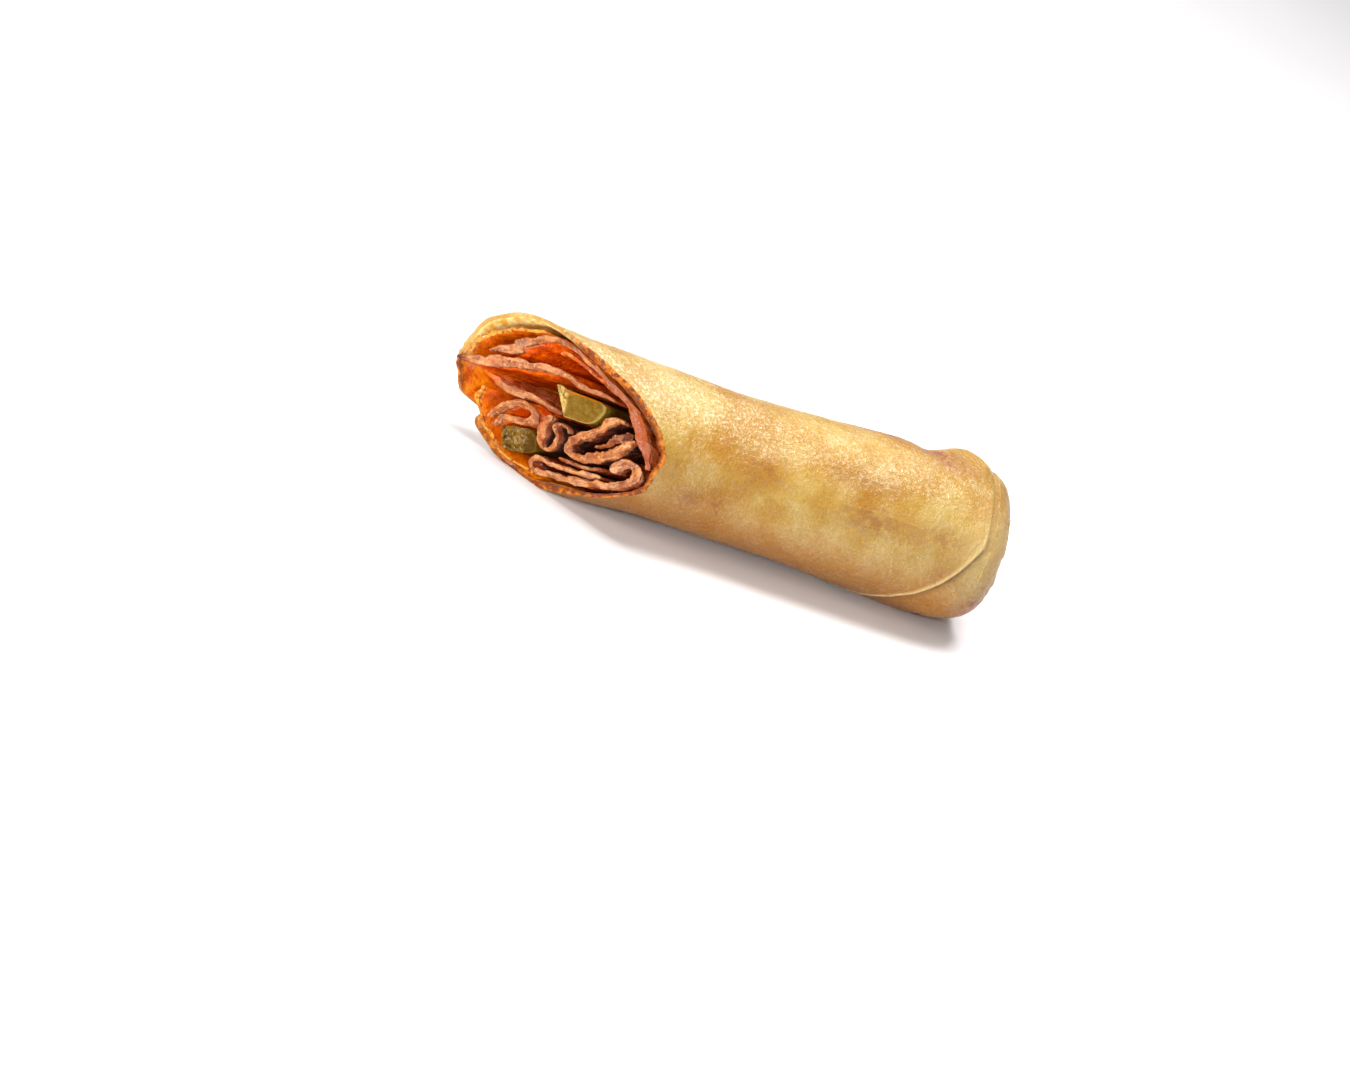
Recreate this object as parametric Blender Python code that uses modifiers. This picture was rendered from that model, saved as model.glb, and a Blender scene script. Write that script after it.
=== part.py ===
"""A doner spring roll cut on the slant, lying on its side.

A thin fried pastry wrapper is rolled round folded slices of doner meat and two
pieces of gherkin. One end is tucked shut. The other end is cut by a knife that
crosses the roll at a slant, so the folds of the filling show.

Axes: X runs along the roll from the cut end to the closed end, Z is up, and the
cut faces -X and -Y. Sections are given in millimetres as (y, z) points of the cut
face, measured from the roll's axis, and angles in degrees from +Y towards +Z.
The origin is the middle of the footprint, on the surface that the roll lies on.
"""

import math

import bmesh
import bpy
from mathutils import Vector

MM = 0.001

# Driving sizes, in millimetres
ROLL_RADIUS = 14.85        # of the body between the ends
CORE_RADIUS = 14.3         # what the outline at the cut shrinks to deep inside the roll
RIM_TRIM = 0.15            # the rim, where it has no bump, lies this far inside the body
CUT_RUN = 1.286            # how far the knife moves back along X for each 1 mm across
FLOOR = -16.2              # the flat that the roll lies on, below its axis
RIM_FADE = 9.0             # how soon the shape of the cut rim gives way to the body
WALL = 0.75                # thinnest pastry wall at the cut
END_START = 84.0           # where the closed end begins to round
END_GIRTH = 88.0           # the place along X whose girth the closed end rounds down from
FILLING_END = 83.5         # where the filling stops
LAP_STEP = 0.55            # the last lap of pastry stands this much above the one below
LAP_EDGE = 0.5             # width of the slope down from that lap
LAP_CLEAR = 1.5            # how far the lap's edge keeps from the rounding of the closed end
KNIFE_OVERRUN = 3.0        # stock left before the knife plane, which the cut removes
KNIFE_BLOCK = 120.0        # side of the block that stands for the knife's half space

# The roll grows fatter towards its closed end: place along X, half length, how much all
# round, how much more on one side, and the angle of that side
BULGE_PLACE = 76.0
BULGE_LENGTH = 20.0
BULGE_HEIGHT = 1.2
BULGE_LEAN = 0.65
BULGE_ANGLE = 75.0

# How finely the shapes are divided
WRAPPER_SEGMENTS = 60
STEPS_TO_LAP = 13
STEPS_PAST_LAP = 6
STEPS_INSIDE = 7
CROWD_OUTSIDE = 1.4        # above 1, rows of vertices crowd towards the cut
CROWD_INSIDE = 1.6
SAMPLES_PER_POINT = 2
DEPTH_STEPS = (0.0, 0.05, 0.16, 0.45, 1.0)
SHARP_ANGLE = 50.0         # an edge sharper than this isn't shaded smooth, in degrees

# Bumps on the rim at the cut: angle, half width in degrees, height
RIM_BUMPS = (
    (68, 22, 1.15), (140, 30, 1.75), (163, 18, 1.15), (193, 14, 1.0),
    (271, 22, 2.4), (301, 9, 0.4), (334, 9, -0.3), (322, 7, 0.7), (8, 22, -0.9),
)

# Places where several layers of pastry make the wall thicker, in the same form
WALL_BUMPS = (
    (60, 30, 0.25), (98, 22, 0.45), (118, 25, 0.35), (122, 14, 0.2), (145, 22, 0.7),
    (250, 14, 0.75), (262, 14, 0.4),
)

# Swellings of the body: angle, half width, place along X, half length, height
BODY_BUMPS = (
    (65, 40, 33, 11, -0.5),     # waist on top
    (270, 26, 79, 10, 2.3),     # heel that the closed end lies on
    (271, 24, 7, 11, 2.4),      # foot that the cut end lies on
    (66, 20, 76, 4.0, -1.2),    # dent before the closed end
    (68, 28, 84.5, 6, 1.9),     # shoulder of the closed end
    (218, 30, 89, 8, 1.6),      # the closed end's near lower corner
    (155, 35, 55, 13, 0.35),
    (205, 30, 30, 12, -0.3),
    (330, 45, 25, 15, 0.4),
    (20, 40, 62, 12, -0.45),
)

# The generatrix of the closed end: place along X, share of the body's radius.
# It rounds over, then turns back into the mouth between the tucked folds.
END_PROFILE = (
    (84.0, 1.0), (87.6, 0.985), (90.6, 0.94), (92.9, 0.86), (94.4, 0.75), (95.0, 0.62),
    (94.7, 0.52), (93.5, 0.455), (92.2, 0.40), (91.6, 0.27), (91.4, 0.0),
)

END_ROW = 2                     # the row of END_PROFILE where the body's rows stop
CORE_END = ((86.0, 0.9), (87.2, 0.55))    # the end of the hollow: place along X, share

# The mouth of the closed end isn't round: number of lobes, angle of one, depth
MOUTH_LOBES = ((3, 80.0, 0.13), (2, 20.0, 0.08))
MOUTH_START = 4                 # the row of END_PROFILE from which the lobes grow
MOUTH_ROWS = 3                  # the number of rows over which they grow
MOUTH_SHIFT = (1.0, -0.8)       # where the mouth's middle lies, off the axis
TUCK_TILT = 0.9                 # the tucked folds in the mouth lean by this much
TUCK_ANGLE = 35.0               # towards this angle

# The rim is torn back beside the loose edge of the pastry: angle, half width, depth
TEAR = (315.0, 6.5, 3.4)

# Where the edge of the last lap lies: angle, place along X
LAP_LINE = (
    (-20, 91.0), (60, 91.8), (119, 91.3), (147, 89.8), (172, 85.9), (202, 80.3), (233, 73.5),
    (262, 63.0), (290, 51.0), (310, 44.0), (325, 58.0), (340, 91.0),
)

# The pastry's inner turns and the slices of meat: the centre line of each fold where
# it shows at the cut, its thickness along that line, and how far it stands back
SHEETS = {
    "pastry_turn_upper": (
        ((12.45, -0.3), (12.35, 1.6), (11.85, 4.0), (10.9, 6.1), (9.4, 8.3), (7.9, 10.0),
         (6.2, 11.5), (4.6, 12.75)),
        (0.5,), 0.0),
    "pastry_turn_lower": (
        ((9.0, -4.7), (9.05, -6.6), (8.7, -8.6), (7.9, -10.6), (6.7, -12.1), (5.0, -13.5),
         (2.8, -14.45), (0.5, -14.75), (-1.6, -14.65)),
        (0.5,), 0.0),
    "doner_slice_1": (
        ((10.6, 2.3), (9.9, 3.0), (8.9, 3.9), (7.6, 5.5), (6.95, 7.0), (6.35, 8.6),
         (5.5, 10.2), (4.4, 11.55), (2.9, 12.7), (1.5, 13.15), (-0.7, 12.8), (-3.4, 12.15),
         (-5.7, 11.75), (-7.8, 10.8), (-9.9, 9.3), (-11.8, 7.3), (-13.4, 5.0), (-14.3, 2.6),
         (-14.65, 0.7)),
        (0.8, 1.1, 1.2, 1.3, 1.3, 1.3, 1.25, 1.1, 1.0, 0.95, 0.95, 0.95, 1.0, 1.2, 1.7, 2.0, 1.8,
         1.1, 0.5),
        0.0),
    "doner_slice_2": (
        ((12.5, -2.1), (11.6, -1.25), (10.3, -0.1), (8.9, 1.3), (7.5, 2.35), (5.9, 3.6),
         (4.4, 4.9), (2.9, 6.1), (1.4, 6.95), (0.0, 7.25), (-1.8, 7.3), (-3.6, 7.8),
         (-5.6, 8.55), (-7.2, 8.8)),
        (1.0, 1.3, 1.5, 1.7, 1.8, 1.8, 1.8, 1.6, 1.4, 1.2, 1.1, 1.0, 0.9, 0.7), 0.0),
    "doner_slice_3": (
        ((9.5, -1.9), (8.6, -1.9), (7.4, -2.1), (6.2, -2.3), (5.1, -2.0), (4.1, -1.2),
         (3.0, -0.65), (1.5, -0.4), (0.0, -0.4), (-1.2, 0.0)),
        (0.7, 1.2, 1.4, 1.6, 1.6, 1.4, 1.3, 1.3, 1.2, 0.8), 0.0),
    "doner_slice_4": (
        ((7.05, -9.9), (6.2, -7.4), (5.1, -5.2), (3.95, -3.6), (2.7, -2.8), (1.5, -2.95),
         (0.95, -3.95), (1.2, -5.05), (2.1, -6.0), (3.7, -7.05), (5.0, -8.55), (5.95, -10.6)),
        (0.8, 1.15, 1.25, 1.25, 1.25, 1.3, 1.3, 1.3, 1.2, 1.1, 1.0, 0.8), 0.0),
    "doner_slice_5": (
        ((-1.0, -1.35), (-0.7, -3.0), (-0.6, -5.0), (-0.7, -6.8), (-1.05, -7.9), (-1.65, -8.35),
         (-2.2, -7.8), (-2.45, -6.6), (-2.6, -5.2), (-2.5, -4.0), (-2.1, -2.9), (-2.45, -1.9),
         (-3.25, -1.75), (-3.7, -2.6)),
        (1.0, 1.1, 1.1, 1.0, 0.8, 0.7, 0.65, 0.7, 0.8, 0.8, 0.75, 0.7, 0.7, 0.5), 0.0),
    "doner_slice_6": (
        ((-9.9, 6.2), (-8.9, 6.1), (-8.0, 4.8), (-7.2, 3.0), (-6.5, 1.2), (-5.7, -0.6),
         (-4.9, -2.5), (-4.25, -4.5), (-4.4, -5.8), (-5.6, -6.0), (-7.0, -5.0), (-8.5, -3.2),
         (-9.7, -1.4), (-10.5, 0.6), (-11.35, 2.6), (-12.1, 4.5)),
        (0.8, 1.0, 1.1, 1.1, 1.1, 1.1, 1.1, 1.1, 1.2, 1.3, 1.4, 1.5, 1.6, 1.5, 1.1, 0.6), 0.0),
    "doner_slice_7": (
        ((-10.4, 4.9), (-10.1, 3.7), (-9.2, 2.2), (-8.3, 0.7), (-7.4, -0.9), (-6.5, -2.3)),
        (1.0, 1.2, 1.0, 0.8, 0.7, 0.5), 1.2),
    "doner_slice_8": (
        ((-10.95, -4.0), (-11.15, -2.6), (-11.6, -1.3), (-12.4, -0.5), (-13.3, -0.6),
         (-13.8, -1.8), (-13.75, -3.2), (-13.1, -4.5), (-12.05, -5.85), (-10.65, -7.35),
         (-8.75, -9.0), (-6.6, -10.65), (-4.4, -12.1), (-2.4, -13.25), (-0.9, -13.5),
         (-0.25, -12.5), (-1.0, -11.3), (-2.9, -10.3), (-4.8, -9.6), (-6.5, -8.7),
         (-8.2, -7.6), (-9.6, -6.6)),
        (1.0, 1.1, 1.2, 1.4, 1.4, 1.3, 1.2, 1.2, 1.3, 1.4, 1.5, 1.5, 1.4, 1.2, 1.1, 1.1, 1.1,
         1.2, 1.1, 1.0, 0.9, 0.7),
        0.0),
    "doner_slice_9": (
        ((-3.0, -8.9), (-4.3, -8.15), (-5.6, -7.65), (-7.0, -6.95), (-8.3, -5.9), (-9.4, -4.8)),
        (0.7, 0.9, 0.8, 0.8, 0.8, 0.6), 0.9),
    "doner_slice_10": (
        ((2.7, 10.3), (1.7, 11.1), (0.4, 11.25), (-1.6, 10.8), (-4.0, 10.4), (-5.6, 10.15),
         (-6.8, 9.9)),
        (0.8, 0.9, 0.9, 0.8, 0.7, 0.6, 0.5), 1.6),
}

# The outline of each piece of gherkin at the cut
GHERKINS = {
    "gherkin_piece_1": (
        (1.2, 4.4), (0.2, 5.0), (-1.4, 5.2), (-4.7, 6.6), (-5.7, 6.8), (-6.3, 6.2),
        (-6.15, 3.8), (-5.75, 2.2), (-5.1, 1.3), (-3.9, 0.7), (-2.6, 0.1), (-1.9, 0.9),
        (-0.6, 2.3)),
    "gherkin_piece_2": (
        (4.5, -9.6), (3.3, -8.3), (2.0, -7.4), (1.2, -6.9), (0.35, -7.5), (-0.3, -9.0),
        (-0.45, -10.2), (0.5, -11.7), (2.0, -12.9), (3.1, -13.5), (3.9, -12.4)),
}

# Along each piece of gherkin: share of the way to the filling's end, size of the outline
GHERKIN_TAPER = ((0.0, 1.0), (0.1, 1.0), (0.35, 1.0), (0.7, 0.96), (0.95, 0.88), (1.0, 0.75))

# Finishes: base colour, roughness
PASTRY_OUTSIDE = ((0.62, 0.40, 0.16), 0.45)
PASTRY_INSIDE = ((0.70, 0.25, 0.04), 0.35)
MEAT = ((0.48, 0.19, 0.09), 0.45)
GHERKIN = ((0.34, 0.30, 0.05), 0.30)


def bell(value, centre, width):
    """A smooth bump of height 1."""
    return math.exp(-((value - centre) / width) ** 2)


def turn(angle, centre):
    """The signed angle from centre, between -180 and 180 degrees."""
    return (angle - centre + 180.0) % 360.0 - 180.0


def bumps(angle, table):
    """The sum of the bumps of a table at an angle."""
    return sum(height * bell(turn(angle, at), 0.0, width) for at, width, height in table)


def rim_radius(angle):
    """The wrapper's outer radius where the knife cut it."""
    return ROLL_RADIUS - RIM_TRIM + bumps(angle, RIM_BUMPS)


def body_radius(angle, x):
    """The wrapper's outer radius away from the cut, with its swellings."""
    lean = BULGE_LEAN * math.cos(math.radians(angle - BULGE_ANGLE))
    swelling = bell(x, BULGE_PLACE, BULGE_LENGTH) * (BULGE_HEIGHT + lean)
    for at, width, along, length, height in BODY_BUMPS:
        swelling += height * bell(turn(angle, at), 0.0, width) * bell(x, along, length)
    return ROLL_RADIUS + swelling


def outer_radius(angle, x, depth):
    """The outer radius at a place along X and a depth behind the knife plane."""
    fade = math.exp(-max(depth, 0.0) / RIM_FADE)
    return body_radius(angle, x) * (1.0 - fade) + rim_radius(angle) * fade


def fibre(y, z, depth):
    """Follows a point of the cut section back along the roll.

    The filling keeps its place between the axis and the wrapper while the shape of
    the rim gives way to the rounder core.
    """
    rim = rim_radius(math.degrees(math.atan2(z, y)))
    fade = math.exp(-max(depth, 0.0) / RIM_FADE)
    ratio = (CORE_RADIUS * (1.0 - fade) + rim * fade) / rim
    return Vector((depth - CUT_RUN * y, y * ratio, z * ratio))


def spline(points, count):
    """Points evenly spaced by index along a Catmull-Rom curve through the points."""
    first = [2 * a - b for a, b in zip(points[0], points[1])]
    last = [2 * a - b for a, b in zip(points[-1], points[-2])]
    line = [first, *points, last]
    spans = len(points) - 1
    result = []
    for i in range(count):
        place = spans * i / (count - 1)
        span = min(int(place), spans - 1)
        t = place - span
        p0, p1, p2, p3 = line[span:span + 4]
        result.append(tuple(
            0.5 * (2 * b + (c - a) * t + (2 * a - 5 * b + 4 * c - d) * t ** 2
                   + (3 * b - a - 3 * c + d) * t ** 3)
            for a, b, c, d in zip(p0, p1, p2, p3)))
    return result


def between(table, place):
    """Reads a table of values at a place from 0 to 1 along it."""
    spot = place * (len(table) - 1)
    low = min(int(spot), max(len(table) - 2, 0))
    high = min(low + 1, len(table) - 1)
    return table[low] + (table[high] - table[low]) * (spot - low)


def lap_place(angle):
    """Where along X the edge of the last lap lies, at an angle."""
    first = LAP_LINE[0][0]
    angle = (angle - first) % 360.0 + first
    for (a0, x0), (a1, x1) in zip(LAP_LINE, LAP_LINE[1:]):
        if angle <= a1:
            return x0 + (x1 - x0) * (angle - a0) / (a1 - a0)
    return LAP_LINE[-1][1]


def torn_back(angle):
    """How far the rim stands back from the knife plane."""
    at, width, depth = TEAR
    return depth * bell(turn(angle, at), 0.0, width)


def end_row(number, angle):
    """A point of the closed end: its place along X, y and z, for one row of the profile."""
    x, share = END_PROFILE[number]
    radians = math.radians(angle)
    radius = (body_radius(angle, END_GIRTH) - LAP_STEP) * share
    grown = min(max(number - MOUTH_START, 0), MOUTH_ROWS) / MOUTH_ROWS
    lobes = sum(depth * math.cos(math.radians(count * (angle - at)))
                for count, at, depth in MOUTH_LOBES)
    radius *= 1.0 + lobes * grown
    x += TUCK_TILT * math.cos(math.radians(angle - TUCK_ANGLE)) * grown * share
    y = radius * math.cos(radians) + MOUTH_SHIFT[0] * grown
    z = radius * math.sin(radians) + MOUTH_SHIFT[1] * grown
    return x, y, z


def material(name, finish):
    """A plain material of a sub-part's own, from its base colour and roughness."""
    colour, roughness = finish
    made = bpy.data.materials.new(name)
    made.use_nodes = True
    shader = made.node_tree.nodes["Principled BSDF"]
    shader.inputs["Base Color"].default_value = (*colour, 1.0)
    shader.inputs["Roughness"].default_value = roughness
    shader.inputs["Metallic"].default_value = 0.0
    return made


def new_object(name, vertices, faces, finish, collection):
    """An object with its own mesh in metres and its own material."""
    mesh = bpy.data.meshes.new(name)
    mesh.from_pydata([tuple(v * MM for v in vertex) for vertex in vertices], [], faces)
    mesh.materials.append(material(name, finish))
    made = bpy.data.objects.new(name, mesh)
    collection.objects.link(made)
    return made


def outward(made):
    """Turns the faces of a closed mesh outwards and shades it smooth."""
    work = bmesh.new()
    work.from_mesh(made.data)
    bmesh.ops.recalc_face_normals(work, faces=work.faces[:])
    work.to_mesh(made.data)
    work.free()
    shade(made)


def shade(made):
    """Shades a mesh smooth, apart from its sharp edges."""
    made.data.shade_smooth()
    made.data.set_sharp_from_angle(angle=math.radians(SHARP_ANGLE))


def grid_faces(rows, columns, closed):
    """Quads between rows of vertices, joined up round the columns where closed."""
    last = columns if closed else columns - 1
    return [
        (r * columns + c, r * columns + (c + 1) % columns,
         (r + 1) * columns + (c + 1) % columns, (r + 1) * columns + c)
        for r in range(rows - 1) for c in range(last)]


def end_share(x):
    """How far the closed end's rounding takes in the radius at a place along X."""
    for (x0, s0), (x1, s1) in zip(END_PROFILE, END_PROFILE[1:END_ROW + 1]):
        if x <= x1:
            return s0 + (s1 - s0) * max(x - x0, 0.0) / (x1 - x0)
    return END_PROFILE[END_ROW][1]


def wrapper_outside(angle):
    """The outside of the wrapper at one angle, from the cut to the tucked end."""
    radians = math.radians(angle)
    knife = -CUT_RUN * rim_radius(angle) * math.cos(radians)
    start = knife + torn_back(angle)
    past = END_PROFILE[END_ROW][0]
    lap = min(lap_place(angle), past - LAP_CLEAR)
    edge = LAP_EDGE / 2.0
    places = [start + (lap - edge - start) * (i / STEPS_TO_LAP) ** CROWD_OUTSIDE
              for i in range(STEPS_TO_LAP + 1)]
    places += [lap + edge + (past - lap - edge) * i / STEPS_PAST_LAP
               for i in range(STEPS_PAST_LAP)]
    line = []
    for x in places:
        radius = outer_radius(angle, x, x - knife) * end_share(x)
        if x > lap:
            radius -= LAP_STEP
        line.append((x, radius * math.cos(radians), radius * math.sin(radians)))
    line += [end_row(number, angle) for number in range(END_ROW, len(END_PROFILE) - 1)]
    return [(x, y, max(z, FLOOR)) for x, y, z in line]


def wrapper_inside(angle):
    """The inside of the wrapper at one angle, from the cut to the tucked end."""
    radians = math.radians(angle)
    radius = rim_radius(angle) - WALL - bumps(angle, WALL_BUMPS)
    y = radius * math.cos(radians)
    z = max(radius * math.sin(radians), FLOOR + WALL)
    start = torn_back(angle)
    length = END_START + CUT_RUN * y - start
    line = [tuple(fibre(y, z, start + length * (i / STEPS_INSIDE) ** CROWD_INSIDE))
            for i in range(STEPS_INSIDE + 1)]
    back_y, back_z = line[-1][1:]
    line += [(x, back_y * share, back_z * share) for x, share in CORE_END]
    return line


def build_wrapper(collection):
    """The pastry tube, open at the cut and tucked shut at the other end."""
    angles = [360.0 * i / WRAPPER_SEGMENTS for i in range(WRAPPER_SEGMENTS)]
    columns = [wrapper_inside(a)[::-1] + wrapper_outside(a) for a in angles]
    rows = len(columns[0])
    count = len(columns)
    vertices = [columns[c][r] for r in range(rows) for c in range(count)]
    faces = grid_faces(rows, count, True)
    inner_pole = len(vertices)
    vertices.append((CORE_END[-1][0], 0.0, 0.0))
    vertices.append(end_row(len(END_PROFILE) - 1, 0.0))
    for c in range(count):
        after = (c + 1) % count
        faces.append((inner_pole, after, c))
        faces.append((inner_pole + 1, (rows - 1) * count + c, (rows - 1) * count + after))
    made = new_object("pastry_wrapper", vertices, faces, PASTRY_OUTSIDE, collection)
    outward(made)
    return made


def build_sheet(name, points, thickness, stand_back, finish, collection):
    """A folded sheet that runs through the roll: its middle surface, made solid."""
    count = SAMPLES_PER_POINT * len(points)
    line = spline(points, count)
    front = stand_back if stand_back > 0.0 else -KNIFE_OVERRUN
    vertices = []
    for share in DEPTH_STEPS:
        for y, z in line:
            back = FILLING_END + CUT_RUN * y
            vertices.append(fibre(y, z, front + (back - front) * share))
    made = new_object(name, vertices, grid_faces(len(DEPTH_STEPS), count, False), finish,
                      collection)
    group = made.vertex_groups.new(name="thickness")
    widest = max(thickness)
    for i in range(len(vertices)):
        share = between(thickness, (i % count) / (count - 1)) / widest
        group.add([i], share, "REPLACE")
    solid = made.modifiers.new("thickness", "SOLIDIFY")
    solid.thickness = widest * MM
    solid.offset = 0.0
    solid.vertex_group = group.name
    shade(made)
    return made


def build_gherkin(name, outline, collection):
    """A piece of gherkin that runs back through the roll, with a smaller far end."""
    count = len(outline)
    centre_y = sum(p[0] for p in outline) / count
    centre_z = sum(p[1] for p in outline) / count
    vertices = []
    for share, scale in GHERKIN_TAPER:
        for y, z in outline:
            near_y = centre_y + (y - centre_y) * scale
            near_z = centre_z + (z - centre_z) * scale
            back = FILLING_END + CUT_RUN * near_y
            vertices.append(fibre(near_y, near_z, (back + KNIFE_OVERRUN) * share - KNIFE_OVERRUN))
    faces = grid_faces(len(GHERKIN_TAPER), count, True)
    faces.append(tuple(range(count)))
    faces.append(tuple(range(len(vertices) - count, len(vertices))))
    made = new_object(name, vertices, faces, GHERKIN, collection)
    outward(made)
    return made


def build_knife(collection):
    """The half space before the slanting cut, as a block."""
    bpy.ops.mesh.primitive_cube_add(size=KNIFE_BLOCK * MM)
    knife = bpy.context.active_object
    knife.name = "knife"
    slant = math.atan(CUT_RUN)
    knife.rotation_euler = (0.0, 0.0, slant)
    reach = KNIFE_BLOCK * MM / 2.0
    knife.location = (-reach * math.cos(slant), -reach * math.sin(slant), 0.0)
    for home in list(knife.users_collection):
        home.objects.unlink(knife)
    collection.objects.link(knife)
    knife.hide_render = True
    knife.display_type = "WIRE"
    return knife


def cut(made, knife):
    """Takes off what stands before the knife plane."""
    slice_off = made.modifiers.new("knife", "BOOLEAN")
    slice_off.operation = "DIFFERENCE"
    slice_off.object = knife
    slice_off.solver = "EXACT"


def stand_on_floor(parts, holder):
    """Moves the whole roll so that the middle of its footprint is the origin."""
    bpy.context.view_layer.update()
    scene = bpy.context.evaluated_depsgraph_get()
    corners = []
    for made in parts:
        shape = made.evaluated_get(scene)
        mesh = shape.to_mesh()
        corners += [shape.matrix_world @ v.co for v in mesh.vertices]
        shape.to_mesh_clear()
    low = [min(c[i] for c in corners) for i in range(3)]
    high = [max(c[i] for c in corners) for i in range(3)]
    holder.location = (-(low[0] + high[0]) / 2.0, -(low[1] + high[1]) / 2.0, -low[2])
    print("roll axis at the cut, m:", [round(v, 6) for v in holder.location])


def main():
    """Empties the scene and builds the roll and its knife, each in a collection."""
    for old in list(bpy.data.objects):
        bpy.data.objects.remove(old, do_unlink=True)
    roll = bpy.data.collections.new("doner_spring_roll")
    cutters = bpy.data.collections.new("cutters")
    bpy.context.scene.collection.children.link(roll)
    bpy.context.scene.collection.children.link(cutters)
    holder = bpy.data.objects.new("roll_axis", None)
    roll.objects.link(holder)
    knife = build_knife(cutters)
    parts = [build_wrapper(roll)]
    for name, (points, thickness, stand_back) in SHEETS.items():
        finish = PASTRY_INSIDE if name.startswith("pastry") else MEAT
        made = build_sheet(name, points, thickness, stand_back, finish, roll)
        if stand_back == 0.0:
            cut(made, knife)
        parts.append(made)
    for name, outline in GHERKINS.items():
        made = build_gherkin(name, outline, roll)
        cut(made, knife)
        parts.append(made)
    stand_on_floor(parts, holder)
    for made in [*parts, knife]:
        made.parent = holder


main()
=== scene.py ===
"""Dresses the doner spring roll: fine forms, materials, light and the camera.

Lengths are in millimetres until a mesh is made. Sections are given as (y, z) points of
the cut face, measured from the roll's axis, and angles in degrees from +Y towards +Z.
"""

import math

import bpy
import numpy as np
from mathutils import Matrix, Vector


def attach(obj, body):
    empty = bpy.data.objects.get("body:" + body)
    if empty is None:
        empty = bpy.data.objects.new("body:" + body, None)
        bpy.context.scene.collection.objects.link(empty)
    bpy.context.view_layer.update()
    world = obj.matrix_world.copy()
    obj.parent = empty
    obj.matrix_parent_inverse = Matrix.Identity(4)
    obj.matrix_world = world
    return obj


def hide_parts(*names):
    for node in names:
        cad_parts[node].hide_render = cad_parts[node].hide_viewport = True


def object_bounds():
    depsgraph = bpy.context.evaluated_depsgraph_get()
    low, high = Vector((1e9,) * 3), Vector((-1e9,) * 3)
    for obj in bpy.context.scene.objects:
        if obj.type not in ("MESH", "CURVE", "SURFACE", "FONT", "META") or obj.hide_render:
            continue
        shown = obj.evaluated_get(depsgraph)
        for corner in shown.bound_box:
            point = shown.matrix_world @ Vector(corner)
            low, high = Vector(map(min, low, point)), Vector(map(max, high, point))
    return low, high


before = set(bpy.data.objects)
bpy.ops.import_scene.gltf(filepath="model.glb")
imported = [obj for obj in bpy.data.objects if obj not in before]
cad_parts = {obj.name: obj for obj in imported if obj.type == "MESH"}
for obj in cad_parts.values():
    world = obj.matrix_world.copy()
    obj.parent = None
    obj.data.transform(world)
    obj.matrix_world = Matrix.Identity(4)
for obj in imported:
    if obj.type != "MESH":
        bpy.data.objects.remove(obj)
CAD_BOX = [list(v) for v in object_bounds()]

MM = 0.001
AXIS = np.array((-38.578, 0.015, 16.2))     # the roll's axis at the cut, in the row frame

# The forms of the solids, in millimetres
ROLL_RADIUS = 14.85        # of the body between the ends
CORE_RADIUS = 14.3         # what the outline at the cut shrinks to deep inside the roll
RIM_TRIM = 0.15            # the rim, where it has no bump, lies this far inside the body
CUT_RUN = 1.286            # how far the knife moves back along X for each 1 mm across
FLOOR = -16.2              # the flat that the roll lies on, below its axis
RIM_FADE = 9.0             # how soon the shape of the cut rim gives way to the body
WALL = 0.75                # thinnest pastry wall at the cut
FILLING_END = 83.5         # where the filling stops
LAP_STEP = 0.55            # the last lap of pastry stands this much above the one below
LAP_CLEAR = 1.5            # how far the lap's edge keeps from the rounding of the closed end
END_GIRTH = 88.0           # the place along X whose girth the closed end rounds down from

# The swelling before the closed end, and how much more of it lies towards an angle
BULGE_PLACE = 76.0
BULGE_LENGTH = 20.0
BULGE_HEIGHT = 1.2
BULGE_LEAN = 0.65
BULGE_ANGLE = 75.0

# Bumps: angle, half width and height; on the body also place along X and half length
RIM_BUMPS = (
    (68, 22, 1.15), (140, 30, 1.75), (163, 18, 1.15), (193, 14, 1.0),
    (271, 22, 2.4), (301, 9, 0.4), (334, 9, -0.3), (322, 7, 0.7), (8, 22, -0.9),
)
WALL_BUMPS = (
    (60, 30, 0.25), (98, 22, 0.45), (118, 25, 0.35), (122, 14, 0.2), (145, 22, 0.7),
    (250, 14, 0.75), (262, 14, 0.4),
)
BODY_BUMPS = (
    (65, 40, 33, 11, -0.5), (270, 26, 79, 10, 2.3), (271, 24, 7, 11, 2.4),
    (66, 20, 76, 4.0, -1.2), (68, 28, 84.5, 6, 1.9), (218, 30, 89, 8, 1.6), (155, 35, 55, 13, 0.35),
    (205, 30, 30, 12, -0.3), (330, 45, 25, 15, 0.4), (20, 40, 62, 12, -0.45),
)

# The closed end: rows of place along X and share of the girth, down into its mouth
END_PROFILE = (
    (84.0, 1.0), (87.6, 0.985), (90.6, 0.94), (92.9, 0.86), (94.4, 0.75), (95.0, 0.62),
    (94.7, 0.52), (93.5, 0.455), (92.2, 0.40), (91.6, 0.27), (91.4, 0.0),
)
END_ROW = 2                     # the row where the body's rows stop
END_RADIUS = 15.0               # turns a share into a length, for even steps down the profile
MOUTH_LOBES = ((3, 80.0, 0.13), (2, 20.0, 0.08))
MOUTH_START = 4                 # the row from which the lobes grow
MOUTH_ROWS = 3.0                # the number of rows over which they grow
MOUTH_SHIFT = (1.0, -0.8)       # where the mouth's middle lies, off the axis
TUCK_TILT = 0.9                 # the tucked folds in the mouth lean by this much
TUCK_ANGLE = 35.0               # towards this angle
TUCK_FOLDS = ((5, 12.0, 0.55), (3, 70.0, 0.45))    # folds round the mouth, angle, height

# The torn notch in the rim: angle, half width, depth
TEAR = (315.0, 6.5, 3.4)

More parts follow.
